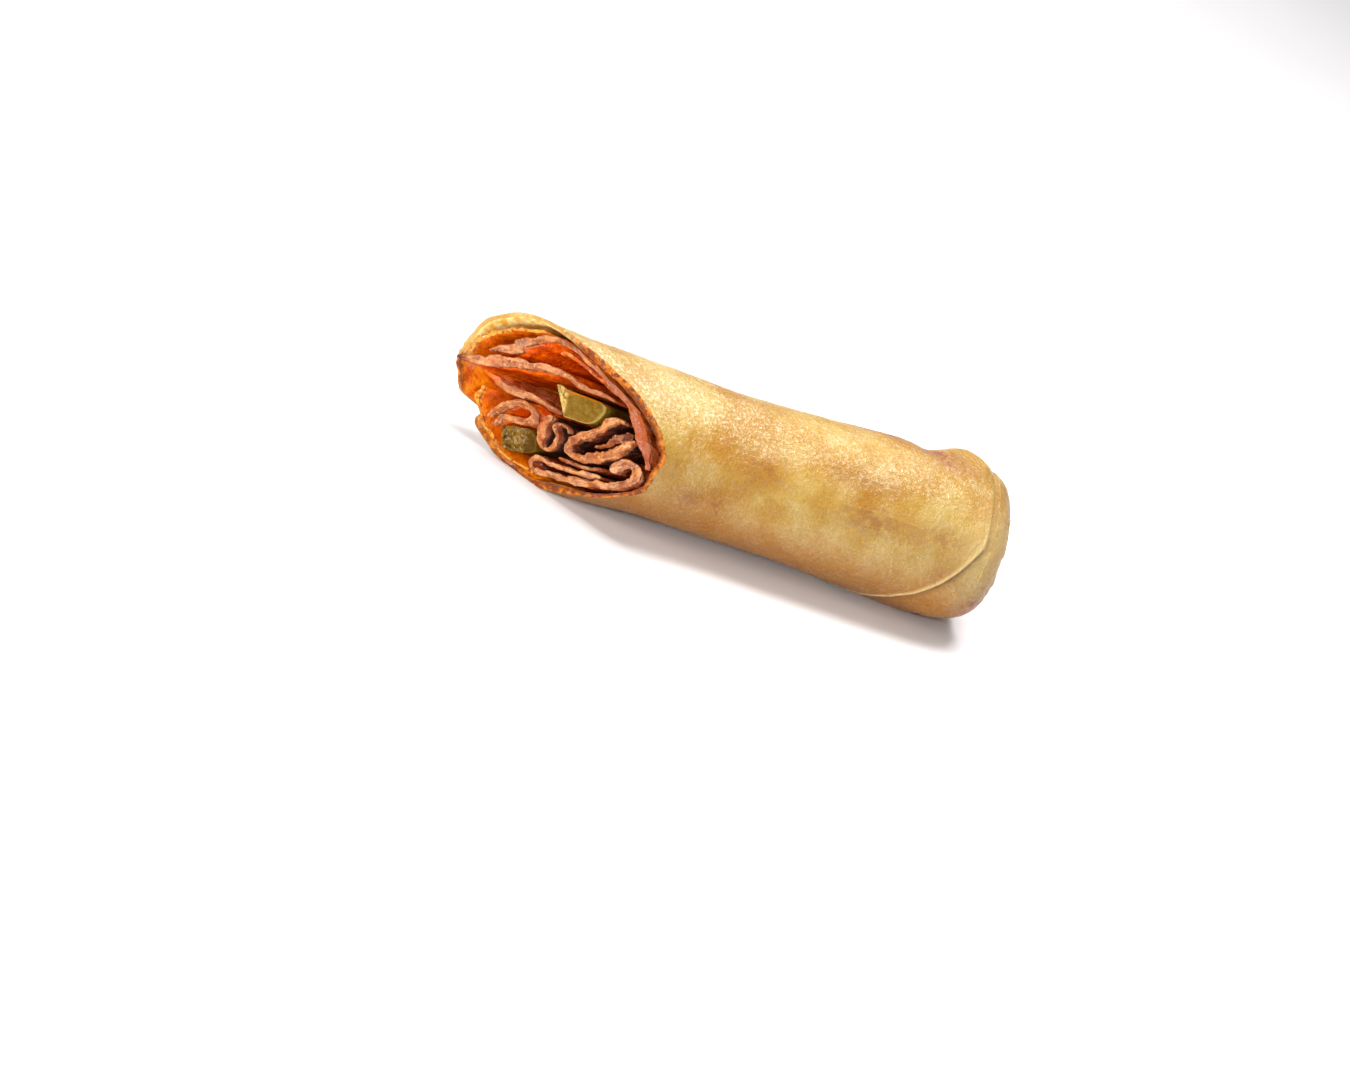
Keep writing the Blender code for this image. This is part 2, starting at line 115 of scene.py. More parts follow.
# The edge of the last lap: angle, place along X
LAP_LINE = (
    (-20, 91.0), (60, 91.8), (119, 91.3), (133, 90.8), (147, 89.8), (159, 88.0), (173, 85.9),
    (188, 83.1), (202, 80.3), (215, 77.1), (233, 73.5), (262, 63.0), (290, 51.0), (310, 44.0),
    (325, 58.0), (340, 91.0),
)

# Sheets that run through the roll: points of the section, thickness, stand back from the cut
SHEETS = {
    "pastry_turn_upper": (
        ((12.45, -0.3), (12.35, 1.6), (11.85, 4.0), (10.9, 6.1), (9.4, 8.3), (7.9, 10.0),
         (6.2, 11.5), (4.6, 12.75)),
        (0.5,), 0.0),
    "pastry_turn_lower": (
        ((9.0, -4.7), (9.05, -6.6), (8.7, -8.6), (7.9, -10.6), (6.7, -12.1), (5.0, -13.5),
         (2.8, -14.45), (0.5, -14.75), (-1.6, -14.65)),
        (0.5,), 0.0),
    "doner_slice_1": (
        ((10.6, 2.3), (9.9, 3.0), (8.9, 3.9), (7.6, 5.5), (6.95, 7.0), (6.35, 8.6),
         (5.5, 10.2), (4.4, 11.55), (2.9, 12.7), (1.5, 13.15), (-0.7, 12.8), (-3.4, 12.15),
         (-5.7, 11.75), (-7.8, 10.8), (-9.9, 9.3), (-11.8, 7.3), (-13.4, 5.0), (-14.3, 2.6),
         (-14.65, 0.7)),
        (0.8, 1.1, 1.2, 1.3, 1.3, 1.3, 1.25, 1.1, 1.0, 0.95, 0.95, 0.95, 1.0, 1.2, 1.7, 2.0, 1.8,
         1.1, 0.5),
        0.0),
    "doner_slice_2": (
        ((13.9, -2.9), (12.5, -2.1), (11.6, -1.25), (10.3, -0.1), (8.9, 1.3), (7.5, 2.35),
         (5.9, 3.6), (4.4, 4.9), (2.9, 6.1), (1.4, 6.95), (0.0, 7.25), (-1.8, 7.3), (-3.6, 7.8),
         (-5.6, 8.55), (-7.2, 8.8)),
        (0.6, 0.9, 1.3, 1.5, 1.7, 1.8, 1.8, 1.8, 1.6, 1.4, 1.2, 1.1, 1.0, 0.9, 0.7), 0.0),
    "doner_slice_3": (
        ((9.5, -1.9), (8.6, -1.9), (7.4, -2.1), (6.2, -2.3), (5.1, -2.0), (4.1, -1.2),
         (3.0, -0.65), (1.5, -0.4), (0.0, -0.4), (-1.2, 0.0)),
        (0.7, 1.2, 1.4, 1.6, 1.6, 1.4, 1.3, 1.3, 1.2, 0.8), 0.0),
    "doner_slice_4": (
        ((7.05, -9.9), (6.2, -7.4), (5.1, -5.2), (3.95, -3.6), (2.7, -2.8), (1.5, -2.95),
         (0.95, -3.95), (1.2, -5.05), (2.1, -6.0), (3.7, -7.05), (5.0, -8.55), (5.95, -10.6)),
        (0.8, 1.15, 1.25, 1.25, 1.25, 1.3, 1.3, 1.3, 1.2, 1.1, 1.0, 0.8), 0.0),
    "doner_slice_5": (
        ((-1.0, -1.35), (-0.7, -3.0), (-0.6, -5.0), (-0.7, -6.8), (-1.05, -7.9), (-1.65, -8.35),
         (-2.2, -7.8), (-2.45, -6.6), (-2.6, -5.2), (-2.5, -4.0), (-2.1, -2.9), (-2.45, -1.9),
         (-3.25, -1.75), (-3.7, -2.6)),
        (1.0, 1.1, 1.1, 1.0, 0.8, 0.7, 0.65, 0.7, 0.8, 0.8, 0.75, 0.7, 0.7, 0.5), 0.0),
    "doner_slice_6": (
        ((-9.9, 6.2), (-8.9, 6.1), (-8.0, 4.8), (-7.2, 3.0), (-6.5, 1.2), (-5.7, -0.6),
         (-4.9, -2.5), (-4.25, -4.5), (-4.4, -5.8), (-5.6, -6.0), (-7.0, -5.0), (-8.5, -3.2),
         (-9.7, -1.4), (-10.5, 0.6), (-11.35, 2.6), (-12.1, 4.5)),
        (0.8, 1.0, 1.1, 1.1, 1.1, 1.1, 1.1, 1.1, 1.2, 1.3, 1.4, 1.5, 1.6, 1.5, 1.1, 0.6), 0.0),
    "doner_slice_7": (
        ((-10.4, 4.9), (-10.1, 3.7), (-9.2, 2.2), (-8.3, 0.7), (-7.4, -0.9), (-6.5, -2.3)),
        (1.0, 1.2, 1.0, 0.8, 0.7, 0.5), 1.2),
    "doner_slice_8": (
        ((-10.95, -4.0), (-11.15, -2.6), (-11.6, -1.3), (-12.4, -0.5), (-13.3, -0.6),
         (-13.8, -1.8), (-13.75, -3.2), (-13.1, -4.5), (-12.05, -5.85), (-10.65, -7.35),
         (-8.75, -9.0), (-6.6, -10.65), (-4.4, -12.1), (-2.4, -13.25), (-0.9, -13.5),
         (-0.25, -12.5), (-1.0, -11.3), (-2.9, -10.3), (-4.8, -9.6), (-6.5, -8.7),
         (-8.2, -7.6), (-9.6, -6.6)),
        (1.0, 1.1, 1.2, 1.4, 1.4, 1.3, 1.2, 1.2, 1.3, 1.4, 1.5, 1.5, 1.4, 1.2, 1.1, 1.1, 1.1,
         1.2, 1.1, 1.0, 0.9, 0.7),
        0.0),
    "doner_slice_9": (
        ((-3.0, -8.9), (-4.3, -8.15), (-5.6, -7.65), (-7.0, -6.95), (-8.3, -5.9), (-9.4, -4.8)),
        (0.7, 0.9, 0.8, 0.8, 0.8, 0.6), 0.9),
    "doner_slice_10": (
        ((2.7, 10.3), (1.7, 11.1), (0.4, 11.25), (-1.6, 10.8), (-4.0, 10.4), (-5.6, 10.15),
         (-6.8, 9.9)),
        (0.8, 0.9, 0.9, 0.8, 0.7, 0.6, 0.5), 1.6),
}

# Outlines of the gherkin's cut faces
GHERKINS = {
    "gherkin_piece_1": (
        (1.2, 4.4), (0.2, 5.0), (-1.4, 5.2), (-4.7, 6.6), (-5.7, 6.8), (-6.3, 6.2),
        (-6.15, 3.8), (-5.75, 2.2), (-5.1, 1.3), (-3.9, 0.7), (-2.6, 0.1), (-1.9, 0.9),
        (-0.6, 2.3)),
    "gherkin_piece_2": (
        (4.5, -9.6), (3.3, -8.3), (2.0, -7.4), (1.2, -6.9), (0.35, -7.5), (-0.3, -9.0),
        (-0.45, -10.2), (0.5, -11.7), (2.0, -12.9), (3.1, -13.5), (3.9, -12.4)),
}

# Browned places on the outside: place along X, angle, half length, half width, strength
BROWNED = (
    (40, 149, 7, 12, 0.5), (60, 132, 9, 10, 0.45), (65, 158, 8, 12, 0.55), (31, 187, 7, 10, 0.5),
    (18, 179, 5, 8, 0.3), (81, 155, 5, 10, 0.5), (84, 180, 4, 8, 0.5), (66, 70, 8, 7, 1.0),
    (77, 80, 4, 11, 1.0), (80, 96, 4, 8, 0.7), (50, 300, 12, 25, 0.5), (30, 350, 14, 20, 0.4),
    (72, 250, 9, 14, 0.7), (93, 205, 3, 10, 0.9), (70, 10, 10, 22, 0.5), (86, 320, 6, 20, 0.7),
)

# Camera: turned, lifted and rolled in degrees; where the axis meets the cut, in
# pixels of the photograph; pixels to the millimetre there; and its focal length
CAMERA_TURN = -15.0
CAMERA_LIFT = 27.1
CAMERA_ROLL = 18.3
CUT_PIXEL = (550.0, 406.0)
PIXELS_PER_MM = 5.13
PHOTO_SIZE = (1350, 1080)
FOCAL_PIXELS = 3750.0
SENSOR = 36.0
CAMERA_CLIP = (0.01, 20.0)      # the nearest and farthest that it sees, in metres

# In metres: where the lights aim, what some are placed from, half the side of the floor
LIGHT_AIM = Vector((0.0, 0.0, 0.015))
ROLL_MIDDLE = Vector((0.0, 0.0, 0.016))
FLOOR_REACH = 3.0

# Meshes of the wrapper: columns round it, and rows to the lap, past it and over the end
WRAPPER_COLUMNS = 440
ROWS_TO_LAP = 190
ROWS_PAST_LAP = 46
END_ROWS = 96
ROW_CROWDING = 1.25        # above 1, rows crowd towards the cut
LAP_SLOPE = 0.13           # half the width of the slope down from the lap
RIM_RING = 6.0             # radius of the circle along which the rim's noise is read
SKIN_RING = 14.0           # the same for the skin's noise
PALE_ANGLE = 40.0          # the middle of the stretch of rim that is least fried
INSIDE_STEPS = np.array((60, 36, 22, 15, 11, 8.5, 6.5, 5, 3.8, 2.9, 2.2, 1.6, 1.1, 0.7, 0.4,
                         0.18))
RIM_LIFT = 0.02            # keeps the rim off the surface

# Rows over the rim: share of the wall's thickness, and how far back they lie
RIM_ROWS = ((0.12, 0.05), (0.32, -0.02), (0.55, -0.04), (0.8, 0.0), (0.95, 0.07))

# Meshes of the filling: depths of the rows behind the cut face, and rings on a face
SHEET_DEPTHS = (0.0, 0.12, 0.28, 0.5, 0.8, 1.15, 1.6, 2.1, 2.8, 3.6, 4.6, 5.8, 7.4, 9.5, 12.5,
                17.0, 24.0, 36.0, 60.0)
LAST_DEPTH = 80.0
GHERKIN_DEPTHS = (0.3, 0.7, 1.3, 2.1, 3.2, 5.0, 8.0, 13.0, 22.0, 40.0, 60.0, 80.0)
FACE_RINGS = (1.0, 0.97, 0.9, 0.8, 0.68, 0.55, 0.42, 0.3, 0.18, 0.08)


def bell(value, centre, width):
    return np.exp(-((value - centre) / width) ** 2)


def turn(angle, centre):
    return (angle - centre + 180.0) % 360.0 - 180.0


def lobe(angle, centre, width):
    return bell(turn(angle, centre), 0.0, width)


def smooth(value, low, high):
    """0 below low, 1 above high, and smooth between; works either way round."""
    t = np.clip((value - low) / (high - low), 0.0, 1.0)
    return t * t * (3.0 - 2.0 * t)


def hashed(i, j, k, seed):
    """A repeatable value from -1 to 1 for each lattice point."""
    h = (i * 73856093) ^ (j * 19349663) ^ (k * 83492791) ^ (seed * 26544357)
    h &= 0xFFFFFFFF
    h = ((h ^ (h >> 15)) * 2246822519) & 0xFFFFFFFF
    h = ((h ^ (h >> 13)) * 3266489917) & 0xFFFFFFFF
    return (h ^ (h >> 16)) / 2147483647.5 - 1.0


def noise(points, size, seed=0, octaves=1, gain=0.5):
    """Smooth noise from about -1 to 1 at points, with features of a size."""
    points = np.asarray(points, float)
    total = np.zeros(points.shape[:-1])
    weight = 1.0
    whole = 0.0
    size = np.asarray(size, float)
    for octave in range(octaves):
        q = points / (size / 2.0 ** octave) + 17.3 * (octave + 1)
        cell = np.floor(q).astype(np.int64)
        w = q - cell
        w = w * w * (3.0 - 2.0 * w)
        value = 0.0
        for corner in np.ndindex(2, 2, 2):
            u = [w[..., k] if corner[k] else 1.0 - w[..., k] for k in range(3)]
            i, j, k = (cell[..., k] + corner[k] for k in range(3))
            value = value + u[0] * u[1] * u[2] * hashed(i, j, k, seed + octave)
        total += weight * value
        whole += weight
        weight *= gain
    return total / whole * 1.6


def stack(*values):
    return np.stack(np.broadcast_arrays(*values), -1).astype(float)


def table_sum(angle, table):
    return sum(height * lobe(angle, at, width) for at, width, height in table)


def rim_radius(angle):
    return ROLL_RADIUS - RIM_TRIM + table_sum(angle, RIM_BUMPS)


def body_radius(angle, x):
    around = BULGE_HEIGHT + BULGE_LEAN * np.cos(np.radians(angle - BULGE_ANGLE))
    swelling = bell(x, BULGE_PLACE, BULGE_LENGTH) * around
    for at, width, along, length, height in BODY_BUMPS:
        swelling = swelling + height * lobe(angle, at, width) * bell(x, along, length)
    return ROLL_RADIUS + swelling


def fibre(y, z, depth):
    """Follows points of the cut section back along the roll."""
    rim = rim_radius(np.degrees(np.arctan2(z, y)))
    fade = np.exp(-np.maximum(depth, 0.0) / RIM_FADE)
    ratio = (CORE_RADIUS * (1.0 - fade) + rim * fade) / rim
    return stack(depth - CUT_RUN * y, y * ratio, z * ratio)


def catmull(points, per_span=24):
    """A dense Catmull-Rom curve through points, with its place from 0 to 1 by index."""
    p = np.asarray(points, float)
    p = np.vstack([2 * p[0] - p[1], p, 2 * p[-1] - p[-2]])
    spans = len(p) - 3
    place = np.linspace(0.0, spans, spans * per_span + 1)
    span = np.minimum(place.astype(int), spans - 1)
    t = (place - span)[:, None]
    a, b, c, d = p[span], p[span + 1], p[span + 2], p[span + 3]
    line = 0.5 * (2 * b + (c - a) * t + (2 * a - 5 * b + 4 * c - d) * t ** 2
                  + (3 * b - a - 3 * c + d) * t ** 3)
    return line, place / spans


def line_run(points):
    """How far along a line each of its points lies."""
    return np.concatenate([[0.0], np.cumsum(np.linalg.norm(np.diff(points, axis=0), axis=1))])


def even_curve(points, step):
    """Points evenly spaced along the curve, their place by index, and their run."""
    line, place = catmull(points)
    run = line_run(line)
    count = max(int(run[-1] / step), 8) + 1
    even = np.linspace(0.0, run[-1], count)
    made = np.stack([np.interp(even, run, line[:, i]) for i in range(line.shape[1])], -1)
    return made, np.interp(even, run, place), even


def grid_faces(rows, columns, closed, flip=False):
    """Quads between rows of a grid of vertices."""
    r = np.arange(rows - 1)[:, None]
    c = np.arange(columns if closed else columns - 1)[None, :]
    after = (c + 1) % columns
    quads = np.stack([r * columns + c, r * columns + after,
                      (r + 1) * columns + after, (r + 1) * columns + c], -1).reshape(-1, 4)
    return quads[:, ::-1] if flip else quads


def make_piece(name, points, quads, triangles, marks, material, nodes):
    """A mesh piece in the row frame that stands for CAD nodes and rides on the roll."""
    co = (np.asarray(points).reshape(-1, 3) + AXIS) * MM
    co = np.clip(co, CAD_BOX[0], CAD_BOX[1])
    mesh = bpy.data.meshes.new(name)
    faces = [tuple(f) for part in (quads, triangles) for f in np.asarray(part).tolist()]
    mesh.from_pydata(co.tolist(), [], faces)
    for key, values in marks.items():
        layer = mesh.attributes.new(key, "FLOAT", "POINT")
        layer.data.foreach_set("value", np.broadcast_to(values, len(co)).astype(np.float32))
    mesh.validate()
    mesh.shade_smooth()
    mesh.materials.append(material)
    made = bpy.data.objects.new(name, mesh)
    bpy.context.scene.collection.objects.link(made)
    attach(made, "root")
    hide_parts(*nodes)
    return made


# Materials

def tone(red, green, blue):
    """A colour as seen, 0 to 255, turned into scene values."""
    seen = (v / 255.0 for v in (red, green, blue))
    return (*(v / 12.92 if v <= 0.04045 else ((v + 0.055) / 1.055) ** 2.4 for v in seen), 1.0)


class Nodes:
    """Short calls for building a material's nodes."""

    def __init__(self, name):
        self.material = bpy.data.materials.new(name)
        self.material.use_nodes = True
        self.tree = self.material.node_tree
        self.shader = self.tree.nodes["Principled BSDF"]
        self.place = self.add("ShaderNodeTexCoord").outputs["Object"]

    def add(self, kind, **settings):
        node = self.tree.nodes.new(kind)
        for key, value in settings.items():
            setattr(node, key, value)
        return node

    def link(self, source, target):
        if isinstance(source, (int, float, tuple)):
            target.default_value = source
        else:
            self.tree.links.new(source, target)

    def mark(self, name):
        return self.add("ShaderNodeAttribute", attribute_name=name).outputs["Fac"]

    def noise(self, size, detail=3.0, rough=0.55, twist=0.0, place=None):
        """Noise with features of a size in millimetres."""
        node = self.add("ShaderNodeTexNoise")
        self.link(self.place if place is None else place, node.inputs["Vector"])
        node.inputs["Scale"].default_value = 1.0 / (size * (MM if place is None else 1.0))
        node.inputs["Detail"].default_value = detail
        node.inputs["Roughness"].default_value = rough
        node.inputs["Distortion"].default_value = twist
        return node.outputs["Fac"]

    def flow(self, *values):
        """A place made of three values, in millimetres."""
        node = self.add("ShaderNodeCombineXYZ")
        for value, socket in zip(values, node.inputs):
            self.link(value, socket)
        return node.outputs["Vector"]

    def ramp(self, value, *stops):
        node = self.add("ShaderNodeValToRGB")
        points = node.color_ramp.elements
        while len(points) < len(stops):
            points.new(0.5)
        for point, (at, colour) in zip(points, stops):
            point.position = at
            point.color = colour
        self.link(value, node.inputs["Fac"])
        return node.outputs["Color"]

    def mix(self, share, first, second):
        node = self.add("ShaderNodeMix", data_type="RGBA")
        self.link(share, node.inputs["Factor"])
        self.link(first, node.inputs["A"])
        self.link(second, node.inputs["B"])
        return node.outputs["Result"]

    def math(self, operation, first, second, clamp=False):
        node = self.add("ShaderNodeMath", operation=operation, use_clamp=clamp)
        self.link(first, node.inputs[0])
        self.link(second, node.inputs[1])
        return node.outputs[0]

    def times(self, first, second):
        return self.math("MULTIPLY", first, second)

    def map(self, value, low, high, to_low=0.0, to_high=1.0):
        node = self.add("ShaderNodeMapRange")
        limits = {"From Min": low, "From Max": high, "To Min": to_low, "To Max": to_high}
        for key, limit in limits.items():
            node.inputs[key].default_value = limit
        self.link(value, node.inputs["Value"])
        return node.outputs["Result"]

    def bump(self, height, depth, strength=1.0, under=None):
        """A bump of a depth in millimetres, on top of another."""
        node = self.add("ShaderNodeBump")
        node.inputs["Strength"].default_value = strength
        if isinstance(depth, (int, float)):
            node.inputs["Distance"].default_value = depth * MM
        else:
            self.link(self.times(depth, MM), node.inputs["Distance"])
        self.link(height, node.inputs["Height"])
        if under is not None:
            self.link(under, node.inputs["Normal"])
        return node.outputs["Normal"]

    def finish(self, colour, roughness, normal, scatter=0.0, reach=(1.0, 0.5, 0.2), reach_mm=1.0,
               coat=0.0, coat_roughness=0.1, specular=0.5, coat_normal=None):
        shader = self.shader
        self.link(colour, shader.inputs["Base Color"])
        self.link(roughness, shader.inputs["Roughness"])
        self.link(normal, shader.inputs["Normal"])
        if not isinstance(coat, (int, float)):
            self.link(normal if coat_normal is None else coat_normal,
                      shader.inputs["Coat Normal"])
        shader.inputs["Subsurface Weight"].default_value = scatter
        shader.inputs["Subsurface Radius"].default_value = reach
        shader.inputs["Subsurface Scale"].default_value = reach_mm * MM
        self.link(coat, shader.inputs["Coat Weight"])
        shader.inputs["Coat Roughness"].default_value = coat_roughness
        shader.inputs["Specular IOR Level"].default_value = specular
        return self.material


# The outside of the pastry, from dark to light, what lies on it, and the light and shade painted on
# it
KHAKI = (tone(166, 120, 40), tone(180, 144, 66), tone(191, 162, 100))
PALE_CLOUD = tone(206, 184, 128)
GOLDEN_CLOUD = tone(158, 100, 34)
# Painted shade that darkens the underside of the roll
UNDERSIDE_SHADE = tone(148, 88, 16)
# Pale specks painted as glints of light on the oil
GLINT_SPECK_PAINT = tone(238, 228, 200)
OIL_PIT = tone(150, 100, 38)
BROWNED_SPOT = tone(134, 70, 32)
# A highlight painted along the edge of the last lap
LAP_EDGE_HIGHLIGHT = tone(236, 212, 150)
# A shadow painted on the step just past the edge of the last lap
SEAM_SHADOW = tone(118, 68, 26)
TIP_PALE = tone(226, 196, 136)

# Its inside and its cut edge
DRY_INSIDE = (tone(234, 206, 136), tone(214, 158, 58))
SOAKED_INSIDE = (tone(236, 130, 6), tone(182, 66, 0))
FRIED_EDGE = (tone(200, 110, 12), tone(122, 52, 4))
SHADED_INSIDE = tone(92, 36, 4)
SINGED_EDGE = tone(104, 44, 4)

# The inner turns of pastry
SOAKED_TURN = (tone(232, 112, 0), tone(172, 62, 0))
# Painted shade of the turns deeper in the roll
TURN_DEPTH_SHADE = tone(150, 48, 0)
TURN_EDGE = (tone(214, 142, 54), tone(140, 62, 12))

# What all cut faces of meat share
CUT_DARK_STREAK = tone(116, 46, 14)
CUT_PALE_STREAK = tone(224, 164, 112)
CUT_PALE_GRAIN = tone(242, 194, 140)
CUT_DARK_GRAIN = tone(110, 42, 10)
# At the dim places: a darker cut face, and near-black painted shade on the flesh behind it
CUT_DIM = tone(126, 54, 20)
CUT_LIP = tone(122, 48, 10)
FLESH_SHADE = tone(62, 16, 1)
BURNT = (0.12, 0.016, 0.003, 1.0)

GHERKIN_GRAIN = tone(206, 176, 112)
# Painted shade on the gherkin's sides, deeper behind the cut
GHERKIN_DEPTH_SHADE = tone(52, 28, 2)


def pastry_outside():
    """Fried pastry: clouds of khaki, pale specks painted as glints on the oil, browned spots, and
    its inside and edge.
    """
    n = Nodes("fried_pastry")
    broad = n.noise(22.0, 3.0, 0.5)
    cloudy = n.noise(8.0, 4.0, 0.55)
    grain = n.noise(0.66, 3.0, 0.68)
    fine = n.noise(0.35, 2.0, 0.6)
    colour = n.ramp(broad, *zip((0.34, 0.50, 0.66), KHAKI))
    colour = n.mix(n.map(cloudy, 0.46, 0.66, 0.0, 0.35), colour, PALE_CLOUD)
    colour = n.mix(n.map(cloudy, 0.50, 0.32, 0.0, 0.40), colour, GOLDEN_CLOUD)
    # Painted shade on the underside
    colour = n.mix(n.times(n.mark("under"), 0.85), colour, UNDERSIDE_SHADE)
    oiled = n.times(n.mark("oil_and_glints"), n.map(cloudy, 0.36, 0.60, 0.35, 1.0))
    # Pale specks painted as glints, where the oil shines most
    glint_specks = n.times(n.map(grain, 0.52, 0.62), oiled)
    colour = n.mix(n.times(glint_specks, 0.72), colour, GLINT_SPECK_PAINT)
    pit = n.times(n.map(grain, 0.48, 0.36, 0.0, 0.40), n.map(oiled, 0.0, 1.0, 0.3, 1.0))
    colour = n.mix(pit, colour, OIL_PIT)
    browned = n.times(n.mark("browned"), n.map(n.noise(2.0, 4.0, 0.65), 0.30, 0.58))
    colour = n.mix(n.math("MULTIPLY", browned, 1.1, clamp=True), colour, BROWNED_SPOT)
    # The highlight painted on the lap's edge
    colour = n.mix(n.times(n.mark("lap_edge_highlight"), 0.6), colour, LAP_EDGE_HIGHLIGHT)
    # The shadow painted past the lap's edge
    colour = n.mix(n.times(n.mark("lap_shadow"), 0.85), colour, SEAM_SHADOW)
    inner = n.mix(n.map(n.noise(1.8, 3.0), 0.40, 0.60), *DRY_INSIDE)
    soaked = n.mix(n.map(n.noise(2.4, 4.0), 0.40, 0.60), *SOAKED_INSIDE)
    inner = n.mix(n.mark("soaked"), inner, soaked)
    colour = n.mix(n.mark("inside"), colour, inner)
    crisp = n.times(n.mark("crisp"), n.map(n.noise(0.7, 3.0, 0.6), 0.20, 0.45))
    fried = n.mix(n.map(n.noise(1.3, 3.0, 0.6), 0.44, 0.56), *FRIED_EDGE)
    colour = n.mix(crisp, colour, fried)
    colour = n.mix(n.times(n.mark("tip"), 0.5), colour, TIP_PALE)
    colour = n.mix(n.mark("shaded"), colour, SHADED_INSIDE)
    colour = n.mix(n.mark("singed"), colour, SINGED_EDGE)
    rough = n.map(grain, 0.35, 0.65, 0.42, 0.24)
    normal = n.bump(n.noise(1.6, 3.0, 0.5), 0.22, 0.9)
    normal = n.bump(grain, n.map(oiled, 0.0, 1.0, 0.14, 0.36), 1.0, normal)
    normal = n.bump(fine, 0.10, 0.9, normal)
    oil_and_glints = n.times(n.map(grain, 0.42, 0.60, 0.15, 1.0),
                   n.map(n.mark("oil_and_glints"), 0.0, 1.0, 0.55, 1.0))
    wet = n.mix(n.mark("inside"), oil_and_glints, n.map(n.noise(1.2, 3.0, 0.6), 0.50, 0.58, 0.0, 0.7))
    wet = n.mix(n.mark("crisp"), wet, n.map(n.noise(1.2, 3.0, 0.6), 0.52, 0.60, 0.0, 0.35))
    return n.finish(colour, rough, normal, 0.12, (1.0, 0.50, 0.15), 1.0, wet, 0.24, 0.12)


def pastry_turn():
    """Pastry soaked orange by the filling and browned at its edge, with painted shade that darkens
    it deeper in the roll.
    """
    n = Nodes("soaked_pastry_turn")
    depth = n.mark("depth")
    patches = n.noise(2.0, 4.0, 0.6)
    colour = n.mix(n.map(patches, 0.35, 0.65), *SOAKED_TURN)
    # Painted shade, darker deeper in the roll
    colour = n.mix(n.map(depth, 0.8, 7.0), colour, TURN_DEPTH_SHADE)
    uneven = n.map(n.noise(0.8, 3.0), 0.2, 0.8, -0.35, 0.35)
    rim = n.map(n.math("ADD", depth, uneven), 0.15, 0.6, 1.0, 0.0)
    colour = n.mix(rim, colour, n.mix(n.map(n.noise(0.9, 3.0), 0.46, 0.62), *TURN_EDGE))
    wet = n.map(n.noise(1.1, 3.0, 0.6), 0.55, 0.68)
    normal = n.bump(n.noise(0.9, 3.0, 0.6), 0.25, 0.9)
    normal = n.bump(n.noise(0.3, 2.0, 0.6), 0.08, 0.8, normal)
    return n.finish(colour, n.map(patches, 0.3, 0.7, 0.30, 0.50), normal, 0.25, (1.0, 0.30, 0.02),
                    1.2, wet, 0.14, 0.10)


def meat(name, cut_light, cut_dark, inside, deep, reach, wet_share, burnt=BURNT):
    """Cut and inside colours of a slice; the inside darkens to the deep tone over a reach in
    millimetres behind the cut, which is painted shade.
    """
    n = Nodes(name)
    depth = n.mark("depth")
    across = n.mark("across")
    sheet = n.flow(n.times(n.mark("run"), 0.25), n.mark("offset"), n.times(depth, 0.5))
    streaks = n.noise(0.8, 4.0, 0.65, 0.3, sheet)
    mottle = n.noise(3.0, 4.0, 0.65, 0.4)
    grain = n.noise(0.75, 3.0, 0.60, 0.5)
    cut = n.mix(n.map(mottle, 0.40, 0.60), cut_dark, cut_light)
    cut = n.mix(n.map(streaks, 0.48, 0.36, 0.0, 0.80), cut, CUT_DARK_STREAK)
    cut = n.mix(n.map(streaks, 0.54, 0.66, 0.0, 0.60), cut, CUT_PALE_STREAK)
    cut = n.mix(n.map(grain, 0.58, 0.70, 0.0, 0.50), cut, CUT_PALE_GRAIN)
    cut = n.mix(n.map(grain, 0.42, 0.30, 0.0, 0.45), cut, CUT_DARK_GRAIN)
    # The cut face darker at the dim places
    cut = n.mix(n.times(n.mark("dim"), 0.65), cut, CUT_DIM)
    lip = n.times(n.map(across, 0.60, 1.0), n.map(n.noise(0.9, 3.0), 0.30, 0.6))
    cut = n.mix(n.times(lip, 0.75), cut, CUT_LIP)
    flesh = n.mix(n.map(mottle, 0.38, 0.62), inside, deep)
    flesh = n.mix(n.map(streaks, 0.50, 0.38, 0.0, 0.7), flesh, deep)
    # Painted shade: the flesh darkens deeper behind the cut
    flesh = n.mix(n.map(depth, 0.6, reach, 0.0, 0.95), flesh, deep)
    # Near-black painted shade on the flesh at the dim places
    flesh = n.mix(n.mark("dim"), flesh, FLESH_SHADE)
    faced = n.math("ADD", depth, n.map(grain, 0.2, 0.8, -0.3, 0.3))
    colour = n.mix(n.map(faced, 0.2, 0.9), cut, flesh)
    crisp = n.times(n.mark("crisp"), n.map(n.noise(0.8, 3.0), 0.2, 0.5))
    colour = n.mix(crisp, colour, burnt)
    wet = n.times(n.map(n.noise(1.8, 3.0, 0.6), 0.42, 0.52), wet_share)
    wet = n.times(wet, n.map(depth, 4.0, 0.5))
    rough = n.map(n.noise(0.8, 3.0), 0.35, 0.65, 0.35, 0.60)
    normal = n.bump(mottle, 0.60, 1.0)
    normal = n.bump(streaks, 0.40, 1.0, normal)
    normal = n.bump(grain, 0.18, 1.0, normal)
    wrinkled = n.bump(n.noise(1.0, 2.0, 0.5, 0.3), 0.60, 1.0, normal)
    return n.finish(colour, rough, normal, 0.12, (1.0, 0.28, 0.08), 1.0, wet, 0.14, 0.10,
                    wrinkled)


